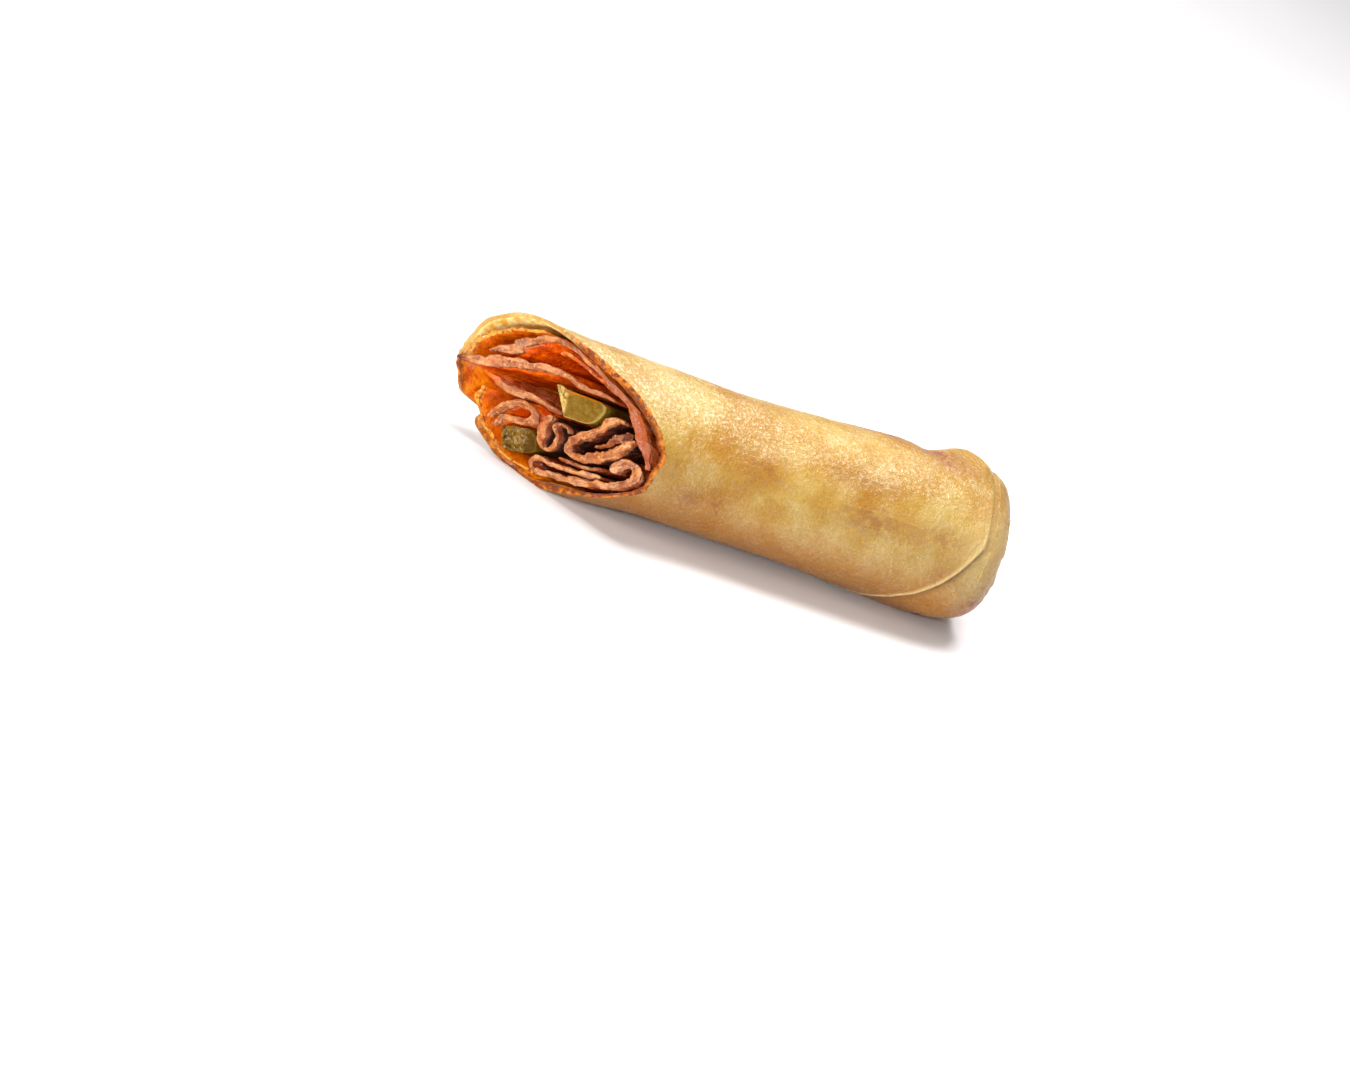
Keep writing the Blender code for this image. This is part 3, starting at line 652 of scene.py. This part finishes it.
def gherkin(name, pale, dark, smooth_side, top):
    """A grainy wet face from dark to pale, a smooth side, and a strip of skin on top."""
    n = Nodes(name)
    wet = n.noise(1.3, 4.0, 0.65, 0.8)
    grain = n.noise(0.7, 3.0, 0.6)
    colour = n.mix(n.map(wet, 0.40, 0.60), dark, pale)
    colour = n.mix(n.map(grain, 0.55, 0.68, 0.0, 0.5), colour, GHERKIN_GRAIN)
    flat_side = n.mix(n.map(wet, 0.40, 0.70, 0.0, 0.18), smooth_side, pale)
    colour = n.mix(n.mark("side"), colour, flat_side)
    colour = n.mix(n.times(n.mark("rim"), 0.4), colour, pale)
    colour = n.mix(n.mark("skin"), colour, top)
    # Painted shade: darker deeper behind the cut
    colour = n.mix(n.map(n.mark("depth"), 0.2, 2.6, 0.0, 0.95), colour, GHERKIN_DEPTH_SHADE)
    normal = n.bump(wet, n.map(n.mark("side"), 0.0, 1.0, 1.0, 0.2), 1.0)
    normal = n.bump(grain, 0.20, 0.9, normal)
    gloss = n.times(n.map(n.noise(1.0, 3.0, 0.6), 0.50, 0.60),
                    n.map(n.mark("side"), 0.0, 1.0, 1.0, 0.06))
    return n.finish(colour, n.map(wet, 0.35, 0.65, 0.25, 0.45), normal, 0.15, (0.8, 0.6, 0.02),
                    1.0, gloss, 0.14, 0.06)


def floor_white():
    n = Nodes("floor_white")
    shade = n.mix(n.map(n.noise(60.0, 2.0), 0.3, 0.7), tone(240, 238, 238),
                  tone(237, 235, 235))
    return n.finish(shade, 0.6, n.bump(n.noise(2.0), 0.01, 0.2))


# The wrapper

def lap_place(angle):
    first = LAP_LINE[0][0]
    wrapped = (angle - first) % 360.0 + first
    return np.interp(wrapped, *zip(*LAP_LINE))


def end_curve(angle, count):
    """Rows of the closed end from its last body row to the middle of the mouth."""
    line, _, _ = even_curve(end_line(), 0.01)
    pick = np.linspace(0, len(line) - 1, count).astype(int)
    number = np.interp(pick / (len(line) - 1), curve_share(),
                       np.arange(END_ROW, len(END_PROFILE)))
    x, share = line[pick, 0][:, None], (line[pick, 1] / END_RADIUS)[:, None]
    grown = (np.clip(number - MOUTH_START, 0.0, MOUTH_ROWS) / MOUTH_ROWS)[:, None]
    radians = np.radians(angle)[None, :]
    radius = (body_radius(angle, END_GIRTH)[None, :] - LAP_STEP) * share
    lobes = sum(depth * np.cos(np.radians(times * (angle - at)))
                for times, at, depth in MOUTH_LOBES)[None, :]
    radius = radius * (1.0 + lobes * grown)
    x = x + TUCK_TILT * np.cos(np.radians(angle - TUCK_ANGLE))[None, :] * grown * share
    # Folds of the tucked pastry: flat wedges that lap over one another
    reach = bell(share, 0.62, 0.26) * smooth(number[:, None], 3.0, 5.0)
    for folds, at, height in TUCK_FOLDS:
        saw = ((angle - at) * folds / 360.0) % 1.0
        step = saw ** 1.6 * smooth(1.0 - saw, 0.0, 0.06)
        x = x + height * step[None, :] * reach
    y = radius * np.cos(radians) + MOUTH_SHIFT[0] * grown
    z = radius * np.sin(radians) + MOUTH_SHIFT[1] * grown
    return stack(x, y, z)


def end_line():
    return [(x, share * END_RADIUS) for x, share in END_PROFILE[END_ROW:]]


def curve_share():
    """How far along the end's curve each row of its profile lies, from 0 to 1."""
    line, place = catmull(end_line())
    run = line_run(line)
    rows = len(END_PROFILE) - END_ROW
    return np.interp(np.linspace(0.0, 1.0, rows), place, run) / run[-1]


def build_wrapper(material):
    """The tube from the deepest row inside it, over the rim, to the middle of the mouth."""
    count = WRAPPER_COLUMNS
    angle = np.arange(count) * 360.0 / count
    cos, sin = np.cos(np.radians(angle)), np.sin(np.radians(angle))
    circle = stack(cos * RIM_RING, sin * RIM_RING, 0.0)
    from_pale = np.abs(turn(angle, PALE_ANGLE))

    # The cut edge, ragged and torn
    knife = -CUT_RUN * rim_radius(angle) * cos
    ragged = 0.30 * noise(circle, 0.9, 3, 3) + 0.25 * noise(circle, 3.0, 8, 2)
    torn = TEAR[2] * lobe(angle, TEAR[0], TEAR[1])
    fried_side = smooth(from_pale, 45.0, 80.0)
    ragged = ragged + 0.30 * fried_side * noise(circle, 0.7, 12, 3)
    start = knife + torn + np.maximum(ragged, -0.2) + 0.1

    # The outside, with the step of the last lap
    past = END_PROFILE[END_ROW][0]
    lap = np.minimum(lap_place(angle), past - LAP_CLEAR)
    to_lap = (np.linspace(0.0, 1.0, ROWS_TO_LAP) ** ROW_CROWDING)[:, None]
    past_lap = np.linspace(0, 1, ROWS_PAST_LAP, endpoint=False)[:, None]
    x = np.vstack([start + (lap - LAP_SLOPE - start) * to_lap,
                   lap + LAP_SLOPE + (past - lap - LAP_SLOPE) * past_lap])
    depth = x - knife
    fade = np.exp(-np.maximum(depth, 0.0) / RIM_FADE)
    radius = body_radius(angle[None, :], x) * (1.0 - fade) + rim_radius(angle)[None, :] * fade
    radius = radius * np.interp(x, *zip(*END_PROFILE[:END_ROW + 1]))
    off = x - lap
    radius = radius - LAP_STEP * (off > 0) + 0.14 * bell(off, -0.35, 0.5) * (off < 0)

    # The relief of the fried surface, and long shallow creases drawn round the filling
    skin = stack(x, cos * SKIN_RING, sin * SKIN_RING)
    relief = (0.16 * noise(skin, (14.0, 8.0, 8.0), 21, 2) + 0.07 * noise(skin, 3.2, 22, 3)
              + 0.045 * np.abs(noise(skin, 1.1, 23, 2)))
    crease = noise(stack(x * 0.35 + cos * 5.0, skin[..., 1], skin[..., 2]), 4.5, 31, 2)
    relief = relief + 0.10 * bell(crease, 0.0, 0.12) * smooth(x, 20.0, 70.0)
    radius = radius + relief * smooth(depth, 0.3, 3.0)
    body = stack(x, radius * cos, radius * sin)

    # The closed end
    end = end_curve(angle, END_ROWS)
    tip = stack(end[..., 0] * 1.4, end[..., 1], end[..., 2])
    swell = 0.14 * noise(tip, 4.5, 41, 3) + 0.05 * noise(tip, 1.2, 42, 2)
    out = end[..., 1:] / np.maximum(np.linalg.norm(end[..., 1:], axis=-1, keepdims=True), 2.0)
    end[..., 1:] += out * swell[..., None]
    end[..., 0] += swell * 0.6
    outside = np.concatenate([body, end[:-1]])
    outside[..., 2] = np.maximum(outside[..., 2], FLOOR)

    # The inside, from the deepest row to the rim
    wall = WALL + table_sum(angle, WALL_BUMPS) - 0.1
    inner_radius = rim_radius(angle) - wall
    iy, iz = inner_radius * cos, np.maximum(inner_radius * sin, FLOOR + WALL)
    lip = start - knife
    inside = np.stack([fibre(iy, iz, lip + s) for s in INSIDE_STEPS])
    wave = noise(np.concatenate([inside[..., :1] * 0.5, inside[..., 1:]], -1), 2.4, 51, 3)
    pull = 1.0 - 0.012 * np.maximum(wave, -0.6) * smooth(INSIDE_STEPS, 0.3, 2.0)[:, None]
    inside[..., 1:] *= pull[..., None]

    # The rim, rounded and a little swollen
    rim = []
    for part, back in RIM_ROWS:
        r = inner_radius + (rim_radius(angle) - inner_radius) * part
        lump = (0.12 + 0.20 * fried_side) * noise(circle * (1.0 + part * 0.1), 0.6, 61, 2)
        y, z = r * cos, np.maximum(r * sin, FLOOR + RIM_LIFT)
        rim.append(fibre(y, z, 0.0) + stack(lip + back + lump, 0.0, 0.0))
    rim = np.stack(rim)
    rows = np.concatenate([inside, rim, outside])
    total = len(rows)
    points = rows.reshape(-1, 3)
    pole = len(points)
    points = np.vstack([points, end[-1].mean(0)])
    last = (total - 1) * count
    ring = np.arange(count)
    fans = np.stack([np.full(count, pole), last + ring, last + (ring + 1) % count], -1)

    # Marks for the material
    inside_rows = len(inside)
    first = inside_rows + len(rim)
    row = np.arange(total)[:, None]
    is_inside = (row < inside_rows + 1).astype(float)
    behind = rows[..., 0] + CUT_RUN * rows[..., 1]
    soak_angle = np.maximum(lobe(angle, 328.0, 26.0), lobe(angle, 235.0, 62.0))
    soaked = np.clip(soak_angle[None, :] * 1.3 + smooth(behind, 3.0, 9.0) * 0.8, 0, 1)
    fringe = noise(circle, 0.7, 71, 2)[None, :]
    crisp_angle = (0.95 * smooth(from_pale, 35.0, 60.0)
                   * (1.0 - 0.2 * lobe(angle, 285.0, 50.0)) + 0.12)[None, :]
    edge_width = np.where(row < first, 1.6, 0.45)
    crisp = crisp_angle * smooth(behind + 0.35 * fringe, edge_width, 0.2)
    crisp = np.clip(crisp * (row < inside_rows + 10), 0.0, 1.0)
    singe = noise(stack(circle[:, 0], circle[:, 1], 9.0), 1.1, 77, 3)[None, :]
    inner_edge = bell(row, inside_rows + 0.5, 1.3 + 0.8 * singe)
    singed = np.clip(crisp_angle * inner_edge * (0.85 + 0.7 * singe), 0.0, 1.0)
    walled = smooth(angle, 95.0, 125.0) * smooth(angle, 235.0, 205.0)
    shaded = 0.9 * walled[None, :] * smooth(behind, 0.5, 2.0) * (row < inside_rows)
    along_x = rows[..., 0]
    browned = 0.55 * smooth(along_x, 89.0, 95.0)
    for along, at, length, width, strength in BROWNED:
        browned += strength * bell(along_x, along, length) * lobe(angle, at, width)
    # Where the painted shade of the underside lies
    under = smooth(angle, 165.0, 215.0) * smooth(angle, 335.0, 290.0)
    # Where the oil shines: this weights the coat, and it places the pale specks painted as glints
    # along the band of the key light's highlight and near the cut
    oil_and_glints = (0.12 + 0.65 * lobe(angle, 110.0, 30.0) * (0.30 + 0.70 * smooth(along_x, 56.0, 6.0))
            + 0.60 * smooth(along_x, 26.0, 0.0) * lobe(angle, 130.0, 60.0))
    # Where the shadow is painted, on the step below the lap's edge
    lap_shadow = np.zeros((total, count))
    drawn = smooth(angle, 125.0, 150.0) * smooth(angle, 318.0, 290.0)
    lap_shadow[first:first + len(off)] = bell(off, 0.38, 0.42) * drawn
    # Where the highlight is painted on the lap's edge
    lap_edge_highlight = np.zeros((total, count))
    lap_edge_highlight[first:first + len(off)] = bell(off, -0.45, 0.50) * drawn
    marks = {"inside": is_inside, "soaked": soaked, "crisp": crisp, "shaded": shaded,
             "singed": singed, "under": under[None, :] * (1 - is_inside), "lap_shadow": lap_shadow,
             "lap_edge_highlight": lap_edge_highlight, "oil_and_glints": np.clip(oil_and_glints, 0.0, 1.0),
             "tip": smooth(along_x, 80.0, 90.0) * lobe(angle, 150.0, 38.0),
             "browned": np.clip(browned, 0, 1) * (1 - is_inside)}
    marks = {key: np.append(np.broadcast_to(values, (total, count)).ravel(), 0.0)
             for key, values in marks.items()}
    return make_piece("fried_wrapper", points, grid_faces(total, count, True, flip=True),
                      fans[:, ::-1], marks, material, ["pastry_wrapper"])


# The sheets of meat and pastry

def build_sheet(name, points, thickness, stand_back, material, slot, seed, ragged=0.26,
                lean=0.0, step=0.15, across=8, crisp_from=(), dim_from=(), torn_by=0.26):
    """A folded sheet that runs through the roll, with a relief on its cut edge."""
    line, place, run = even_curve(points, step)
    half = np.interp(place, np.linspace(0, 1, len(thickness)) if len(thickness) > 1 else [0.5],
                     thickness) / 2.0
    slope = np.gradient(line, axis=0)
    slope /= np.linalg.norm(slope, axis=1, keepdims=True)
    normal = np.stack([-slope[:, 1], slope[:, 0]], -1)
    ends = np.minimum(run, run[-1] - run)
    radius = np.minimum(half, 0.5)
    taper = np.sqrt(np.clip(1.0 - (1.0 - np.clip(ends / radius, 0, 1)) ** 2, 0.04, 1.0))
    half = half * taper
    count = len(line)
    v = np.linspace(-1.0, 1.0, across + 1)

    def section(depth, v):
        """Points of the section at a depth, for places v across the sheet."""
        v, depth = np.broadcast_arrays(np.asarray(v, float), depth)
        base = line.reshape((count,) + (1,) * (v.ndim - 1) + (2,))
        out = normal.reshape(base.shape)
        thick = half.reshape(base.shape[:-1])
        along = run.reshape(base.shape[:-1])
        sway = noise(stack(along, depth * 0.35, 3.0 * seed), 2.4, seed, 2) * 0.16
        uneven = noise(stack(along, depth * 0.5, v * 2.0 + 5.0 * seed), 0.9, seed + 1, 3)
        centre = base + out * (sway * smooth(ends, 0.0, 2.0).reshape(thick.shape))[..., None]
        broad = noise(stack(along, depth * 0.3, v + 7.0 * seed), 2.6, seed + 7, 2)
        torn = torn_by * noise(stack(along, depth * 0.7, np.sign(v) * 4.0 + 6.0 * seed), 1.15,
                               seed + 8, 3)
        torn = torn * (0.35 + 0.65 * np.exp(-depth / 2.5)) * np.minimum(thick / 0.4, 1.0)
        out_by = v * (thick * (1.0 + 0.20 * uneven + 0.22 * broad) + torn)
        at = centre + out * out_by[..., None]
        return at[..., 0], at[..., 1]

    def edge_depth(v):
        """How far the cut edge stands from the knife plane."""
        thick = half.reshape((count,) + (1,) * (np.ndim(v) - 1))
        along = run.reshape(thick.shape)
        strands = noise(stack(along * 0.45, v * thick * 2.5, 7.0 * seed), 0.7, seed + 2, 3)
        lumps = noise(stack(along, v * thick, 9.0 * seed), 1.7, seed + 3, 2)
        waves = noise(stack(along, 0.0, 13.0 * seed), 3.4, seed + 6, 1)
        return (0.7 * ragged * strands + 0.28 * lumps + 0.55 * waves
                + 0.26 * np.abs(v) ** 4 + lean * v)

    # The section at each depth; the first one is the cut face
    width = across + 1
    v_grid = np.broadcast_to(v[None, :], (count, width))
    cut = edge_depth(v_grid)
    rows = []
    for d in SHEET_DEPTHS:
        y, z = section(np.full((count, width), d), v_grid)
        rows.append(fibre(y, z, stand_back + cut * math.exp(-d / 0.8) + d))
    rows.append(fibre(y, z, FILLING_END + CUT_RUN * y))

    # The loop round the section, which joins each row to the next
    ring_index = np.array([(i, across) for i in range(count)]
                          + [(count - 1, j) for j in range(across - 1, -1, -1)]
                          + [(i, 0) for i in range(count - 2, -1, -1)]
                          + [(0, j) for j in range(1, across)])
    ring_i, ring_j = ring_index.T
    ring_v = v[ring_j]
    points = [rows[0].reshape(-1, 3)]
    depths = [np.zeros(count * width)]
    sides = [np.abs(v_grid).ravel()]
    runs = [np.broadcast_to(run[:, None], v_grid.shape).ravel()]
    offsets = [(half[:, None] * v_grid).ravel()]
    ring_flat = ring_i * width + ring_j
    quads = [grid_faces(count, width, False)]
    size = len(ring_flat)
    previous = ring_flat
    first = count * width
    for values, d in zip(rows[1:], (*SHEET_DEPTHS[1:], LAST_DEPTH)):
        points.append(values.reshape(-1, 3)[ring_flat])
        depths.append(np.full(size, d))
        sides.append(np.abs(ring_v))
        runs.append(run[ring_i])
        offsets.append(half[ring_i] * ring_v)
        current = first + np.arange(size)
        quads.append(np.stack([previous, np.roll(previous, -1), np.roll(current, -1), current], -1))
        previous = current
        first += size

    # The far end, closed straight across the sheet
    upper = previous[:count]
    lower = previous[count + across - 1:2 * count + across - 1][::-1]
    quads.append(np.stack([upper[:-1], upper[1:], lower[1:], lower[:-1]], -1))
    end_ring = previous[count - 1:count + across]
    triangles = [(end_ring[0], end_ring[k], end_ring[k + 1]) for k in range(1, across)]
    start_ring = np.append(previous[2 * count + across - 2:], previous[0])
    triangles += [(start_ring[-1], start_ring[k], start_ring[k + 1]) for k in range(0, across - 1)]

    # Marks for the material
    points = np.vstack(points)
    depths = np.concatenate(depths)
    runs = np.concatenate(runs)
    offsets = np.concatenate(offsets) + 3.0 * seed
    places = runs / run[-1]
    crisp = np.zeros(len(points))
    for at, spread, strength in crisp_from:
        crisp += strength * bell(places, at, spread) * np.exp(-depths / 2.5)
    # The dim places: a darker cut, and painted shade on the flesh
    dim = np.zeros(len(points))
    for at, spread, strength in dim_from:
        dim += strength * bell(places, at, spread)
    marks = {"depth": depths, "across": np.concatenate(sides), "crisp": np.clip(crisp, 0, 1),
             "dim": np.clip(dim, 0, 1), "run": runs, "offset": offsets}
    piece = name.replace("doner_slice", "meat_fold").replace("pastry_turn", "inner_turn")
    return make_piece(piece, points, np.vstack(quads), triangles, marks, material, [name])


def build_gherkin(name, outline, material, seed, facet):
    """A piece of gherkin: a faceted, slightly rough cut face, and its sides back from it."""
    line, _, run = even_curve([*outline, outline[0]], 0.16)
    line, run = line[:-1], run[:-1]
    centre = np.asarray(outline, float).mean(0)
    count = len(line)
    points, sides, skins, rims, depths = [], [], [], [], []
    for share in FACE_RINGS:
        at = centre + (line - centre) * share
        rough = noise(stack(at[:, 0], at[:, 1], 5.0 * seed), 0.8, seed, 3)
        depth, side, skin = facet(at[:, 0], at[:, 1])
        depth = depth + 0.16 * rough * smooth(1.0 - share, 0.0, 0.1)
        depth = depth + 0.22 * smooth(share, 0.9, 1.0)
        points.append(fibre(at[:, 0], at[:, 1], depth))
        sides.append(side)
        skins.append(skin)
        rims.append(np.full(count, 0.8 * (share > 0.93)))
        depths.append(np.zeros(count))
    quads = [grid_faces(len(FACE_RINGS), count, True)]
    first = len(FACE_RINGS) * count
    previous = np.arange(count)
    edge_depth, edge_side, edge_skin = facet(line[:, 0], line[:, 1])
    for d in GHERKIN_DEPTHS:
        size = 1.0 - 0.12 * smooth(d, 30.0, 80.0)
        swell = 1.0 + 0.02 * noise(stack(run, d * 0.7, 9.0 * seed), 1.5, seed + 5, 2)
        at = centre + (line - centre) * (size * swell)[:, None]
        back = np.minimum(edge_depth * math.exp(-d / 3.0) + d, FILLING_END + CUT_RUN * at[:, 0])
        points.append(fibre(at[:, 0], at[:, 1], back))
        sides.append(edge_side)
        skins.append(edge_skin)
        rims.append(np.full(count, 0.5 * (d < 0.5)))
        depths.append(np.full(count, d))
        current = first + np.arange(count)
        quads.append(np.stack([previous, current, np.roll(current, -1), np.roll(previous, -1)],
                              -1))
        previous = current
        first += count

    # Fans that close the middle of the face and the far end
    points = np.vstack(points)
    middle = len(points)
    base = (len(FACE_RINGS) - 1) * count
    points = np.vstack([points, points[base:base + count].mean(0), points[-count:].mean(0)])
    ring = np.arange(count)
    fans = np.vstack([
        np.stack([np.full(count, middle), base + ring, base + (ring + 1) % count], -1),
        np.stack([np.full(count, middle + 1), previous[(ring + 1) % count], previous[ring]], -1)])
    marks = {key: np.append(np.concatenate(values), (values[len(FACE_RINGS) - 1].mean(), 0.0))
             for key, values in (("side", sides), ("skin", skins), ("rim", rims))}
    marks["depth"] = np.append(np.concatenate(depths), (0.0, LAST_DEPTH))
    return make_piece(name.replace("gherkin_piece", "gherkin_chunk"), points,
                      np.vstack(quads), fans, marks, material, [name])


def facet_one(y, z):
    """Two facets that meet in an edge, and a thin strip of skin on top."""
    ridge = (y + 2.3) - 0.16 * (z - 3.0)
    depth = np.where(ridge > 0, 0.62 * ridge, -0.34 * ridge) - 0.9
    side = smooth(ridge, 0.15, -0.15)
    top = z - (5.1 + (-1.4 - y) * 0.47)
    skin = smooth(top, -0.55, -0.25) * smooth(y, -1.0, -1.6)
    return depth + 0.5 * skin, side, skin


def facet_two(y, z):
    """A wet rough face, and a smooth strip at the side towards the middle."""
    strip = y - (0.75 + (z + 10.0) * 0.05)
    side = smooth(strip, 0.2, -0.1)
    depth = -0.35 + 0.5 * side
    return depth, side, np.zeros_like(y)


build_wrapper(pastry_outside())

# Tones of the slices, light and dark: inside the folds, then at the cut. Inside the folds the light
# tone lies at the cut and the dark one deeper in, painted light and shade of the recesses
ORANGE = (tone(255, 112, 0), tone(190, 60, 0))
BROWN = (tone(170, 66, 14), tone(72, 16, 2))
# Near-black inside tones: painted shade in the hollows of the loops
SHADED_HOLLOW = (tone(104, 34, 6), tone(34, 8, 1))
FAWN = (tone(226, 142, 90), tone(140, 54, 16))
TAN = (tone(194, 122, 62), tone(146, 78, 32))
PINK = (tone(202, 132, 82), tone(152, 84, 46))
WARM_TAN = (tone(200, 130, 72), tone(148, 80, 34))
# Darker cut tones for slices that stand back in recesses: painted shade
SHADED_RECESS_CUT = (tone(158, 84, 36), tone(100, 44, 12))
UMBER = (tone(182, 108, 58), tone(120, 60, 24))
RUST = (tone(214, 100, 20), tone(160, 60, 8))
FLUSHED = tone(255, 96, 0)

# Cut tones, inside tones, the reach in millimetres over which the painted shade deepens, wet share,
# other looks, and form
SLICE_LOOKS = {
    "doner_slice_1": (TAN, ORANGE, 16.0, 1.0, dict(burnt=tone(156, 66, 18)),
                      dict(ragged=0.3, crisp_from=((0.85, 0.28, 0.75),),
                           dim_from=((0.84, 0.20, 0.95), (0.62, 0.10, 0.5)))),
    "doner_slice_2": (PINK, ORANGE, 14.0, 0.4, {},
                      dict(crisp_from=((0.0, 0.06, 1.4),), dim_from=((0.95, 0.2, 0.7),))),
    "doner_slice_3": (PINK, FAWN, 12.0, 0.3, dict(burnt=FLUSHED),
                      dict(lean=0.4, crisp_from=((0.0, 0.14, 1.2),),
                           dim_from=((1.0, 0.3, 0.6),))),
    "doner_slice_4": (TAN, ORANGE, 10.0, 0.5, {}, {}),
    "doner_slice_5": (UMBER, SHADED_HOLLOW, 0.9, 0.3, {}, dict(torn_by=0.08)),
    "doner_slice_6": (TAN, SHADED_HOLLOW, 3.0, 0.5, {}, {}),
    "doner_slice_7": (SHADED_RECESS_CUT, SHADED_HOLLOW, 2.5, 0.5, {}, {}),
    "doner_slice_8": (WARM_TAN, BROWN, 3.0, 1.0, {}, {}),
    "doner_slice_9": (SHADED_RECESS_CUT, BROWN, 3.0, 0.8, {}, {}),
    "doner_slice_10": (RUST, ORANGE, 14.0, 0.4, {}, dict(ragged=0.5)),
}
turn_material = pastry_turn()
for number, (name, (points, thickness, stand_back)) in enumerate(SHEETS.items()):
    seed = 100 + 10 * number
    if name.startswith("pastry"):
        build_sheet(name, points, thickness, stand_back, turn_material, "pastry_inner_turn",
                    seed, ragged=0.3, across=4)
        continue
    cut_tones, inner_tones, reach, wet_share, extra, settings = SLICE_LOOKS[name]
    finish = meat(name.replace("doner", "meat"), *cut_tones, *inner_tones, reach, wet_share,
                  **extra)
    build_sheet(name, points, thickness, stand_back, finish, "doner_meat", seed, **settings)

build_gherkin("gherkin_piece_1", GHERKINS["gherkin_piece_1"],
              gherkin("gherkin_light", tone(206, 176, 100), tone(136, 98, 26), tone(106, 74, 0),
                      tone(176, 96, 0)), 301, facet_one)
build_gherkin("gherkin_piece_2", GHERKINS["gherkin_piece_2"],
              gherkin("gherkin_wet", tone(128, 92, 14), tone(66, 40, 0), tone(68, 42, 0),
                      tone(110, 74, 4)), 302, facet_two)


# The camera, at the photograph's place

def camera_axes():
    side, lift, roll = (math.radians(v) for v in (CAMERA_TURN, CAMERA_LIFT, CAMERA_ROLL))
    back = Vector((math.sin(side), -math.cos(side) * math.cos(lift),
                   math.cos(side) * math.sin(lift)))
    along = (Vector((1, 0, 0)) - back * back.x).normalized()
    across = -back.cross(along)
    right = along * math.cos(roll) - across * math.sin(roll)
    down = along * math.sin(roll) + across * math.cos(roll)
    return right, down, back


def build_camera():
    right, down, back = camera_axes()
    x = (CUT_PIXEL[0] - PHOTO_SIZE[0] / 2.0) / PIXELS_PER_MM
    y = (CUT_PIXEL[1] - PHOTO_SIZE[1] / 2.0) / PIXELS_PER_MM
    spot = -right * x - down * y + back * (FOCAL_PIXELS / PIXELS_PER_MM) + Vector(AXIS)
    data = bpy.data.cameras.new("camera")
    data.lens = FOCAL_PIXELS / PHOTO_SIZE[0] * SENSOR
    data.sensor_width = SENSOR
    data.clip_start, data.clip_end = CAMERA_CLIP
    camera = bpy.data.objects.new("camera", data)
    bpy.context.scene.collection.objects.link(camera)
    turned = Matrix((right, -down, back)).transposed()
    camera.matrix_world = Matrix.Translation(spot * MM) @ turned.to_4x4()
    bpy.context.scene.camera = camera


def add_light(name, spot, size, power):
    """A soft light aimed at the roll: place and size in metres, power in watts."""
    data = bpy.data.lights.new(name, "AREA")
    data.shape = "RECTANGLE"
    data.size, data.size_y = size
    data.energy = power
    light = bpy.data.objects.new(name, data)
    bpy.context.scene.collection.objects.link(light)
    light.location = spot
    light.rotation_mode = "QUATERNION"
    light.rotation_quaternion = (LIGHT_AIM - Vector(spot)).to_track_quat("-Z", "Y")


build_camera()
right, down, back = camera_axes()


def seen_from(right_m, up_m, back_m):
    """A place given as the camera sees it, from the roll's middle."""
    return ROLL_MIDDLE + right * right_m - down * up_m + back * back_m


add_light("key", (0.02, 0.05, 0.62), (0.35, 0.25), 5.4)
add_light("back", (0.08, 0.55, 0.46), (0.45, 0.20), 1.5)
add_light("left", seen_from(-0.45, 0.30, 0.50), (0.25, 0.25), 1.0)
add_light("side", (-0.62, -0.18, 0.30), (0.20, 0.20), 1.5)
add_light("glint", (-0.58, -0.34, 0.16), (0.10, 0.10), 3.0)
add_light("fill", seen_from(-0.10, 0.10, 0.80), (0.3, 0.3), 0.6)

world = bpy.data.worlds.new("studio")
world.use_nodes = True
background = world.node_tree.nodes["Background"]
background.inputs["Color"].default_value = (1.0, 1.0, 1.0, 1.0)
background.inputs["Strength"].default_value = 0.20
bpy.context.scene.world = world
bpy.context.scene.view_settings.view_transform = "Standard"

floor_mesh = bpy.data.meshes.new("floor")
corners = [(FLOOR_REACH * x, FLOOR_REACH * y, 0.0) for x, y in ((-1, -1), (1, -1), (1, 1), (-1, 1))]
floor_mesh.from_pydata(corners, [], [(0, 1, 2, 3)])
floor_mesh.materials.append(floor_white())
floor = bpy.data.objects.new("floor", floor_mesh)
bpy.context.scene.collection.objects.link(floor)
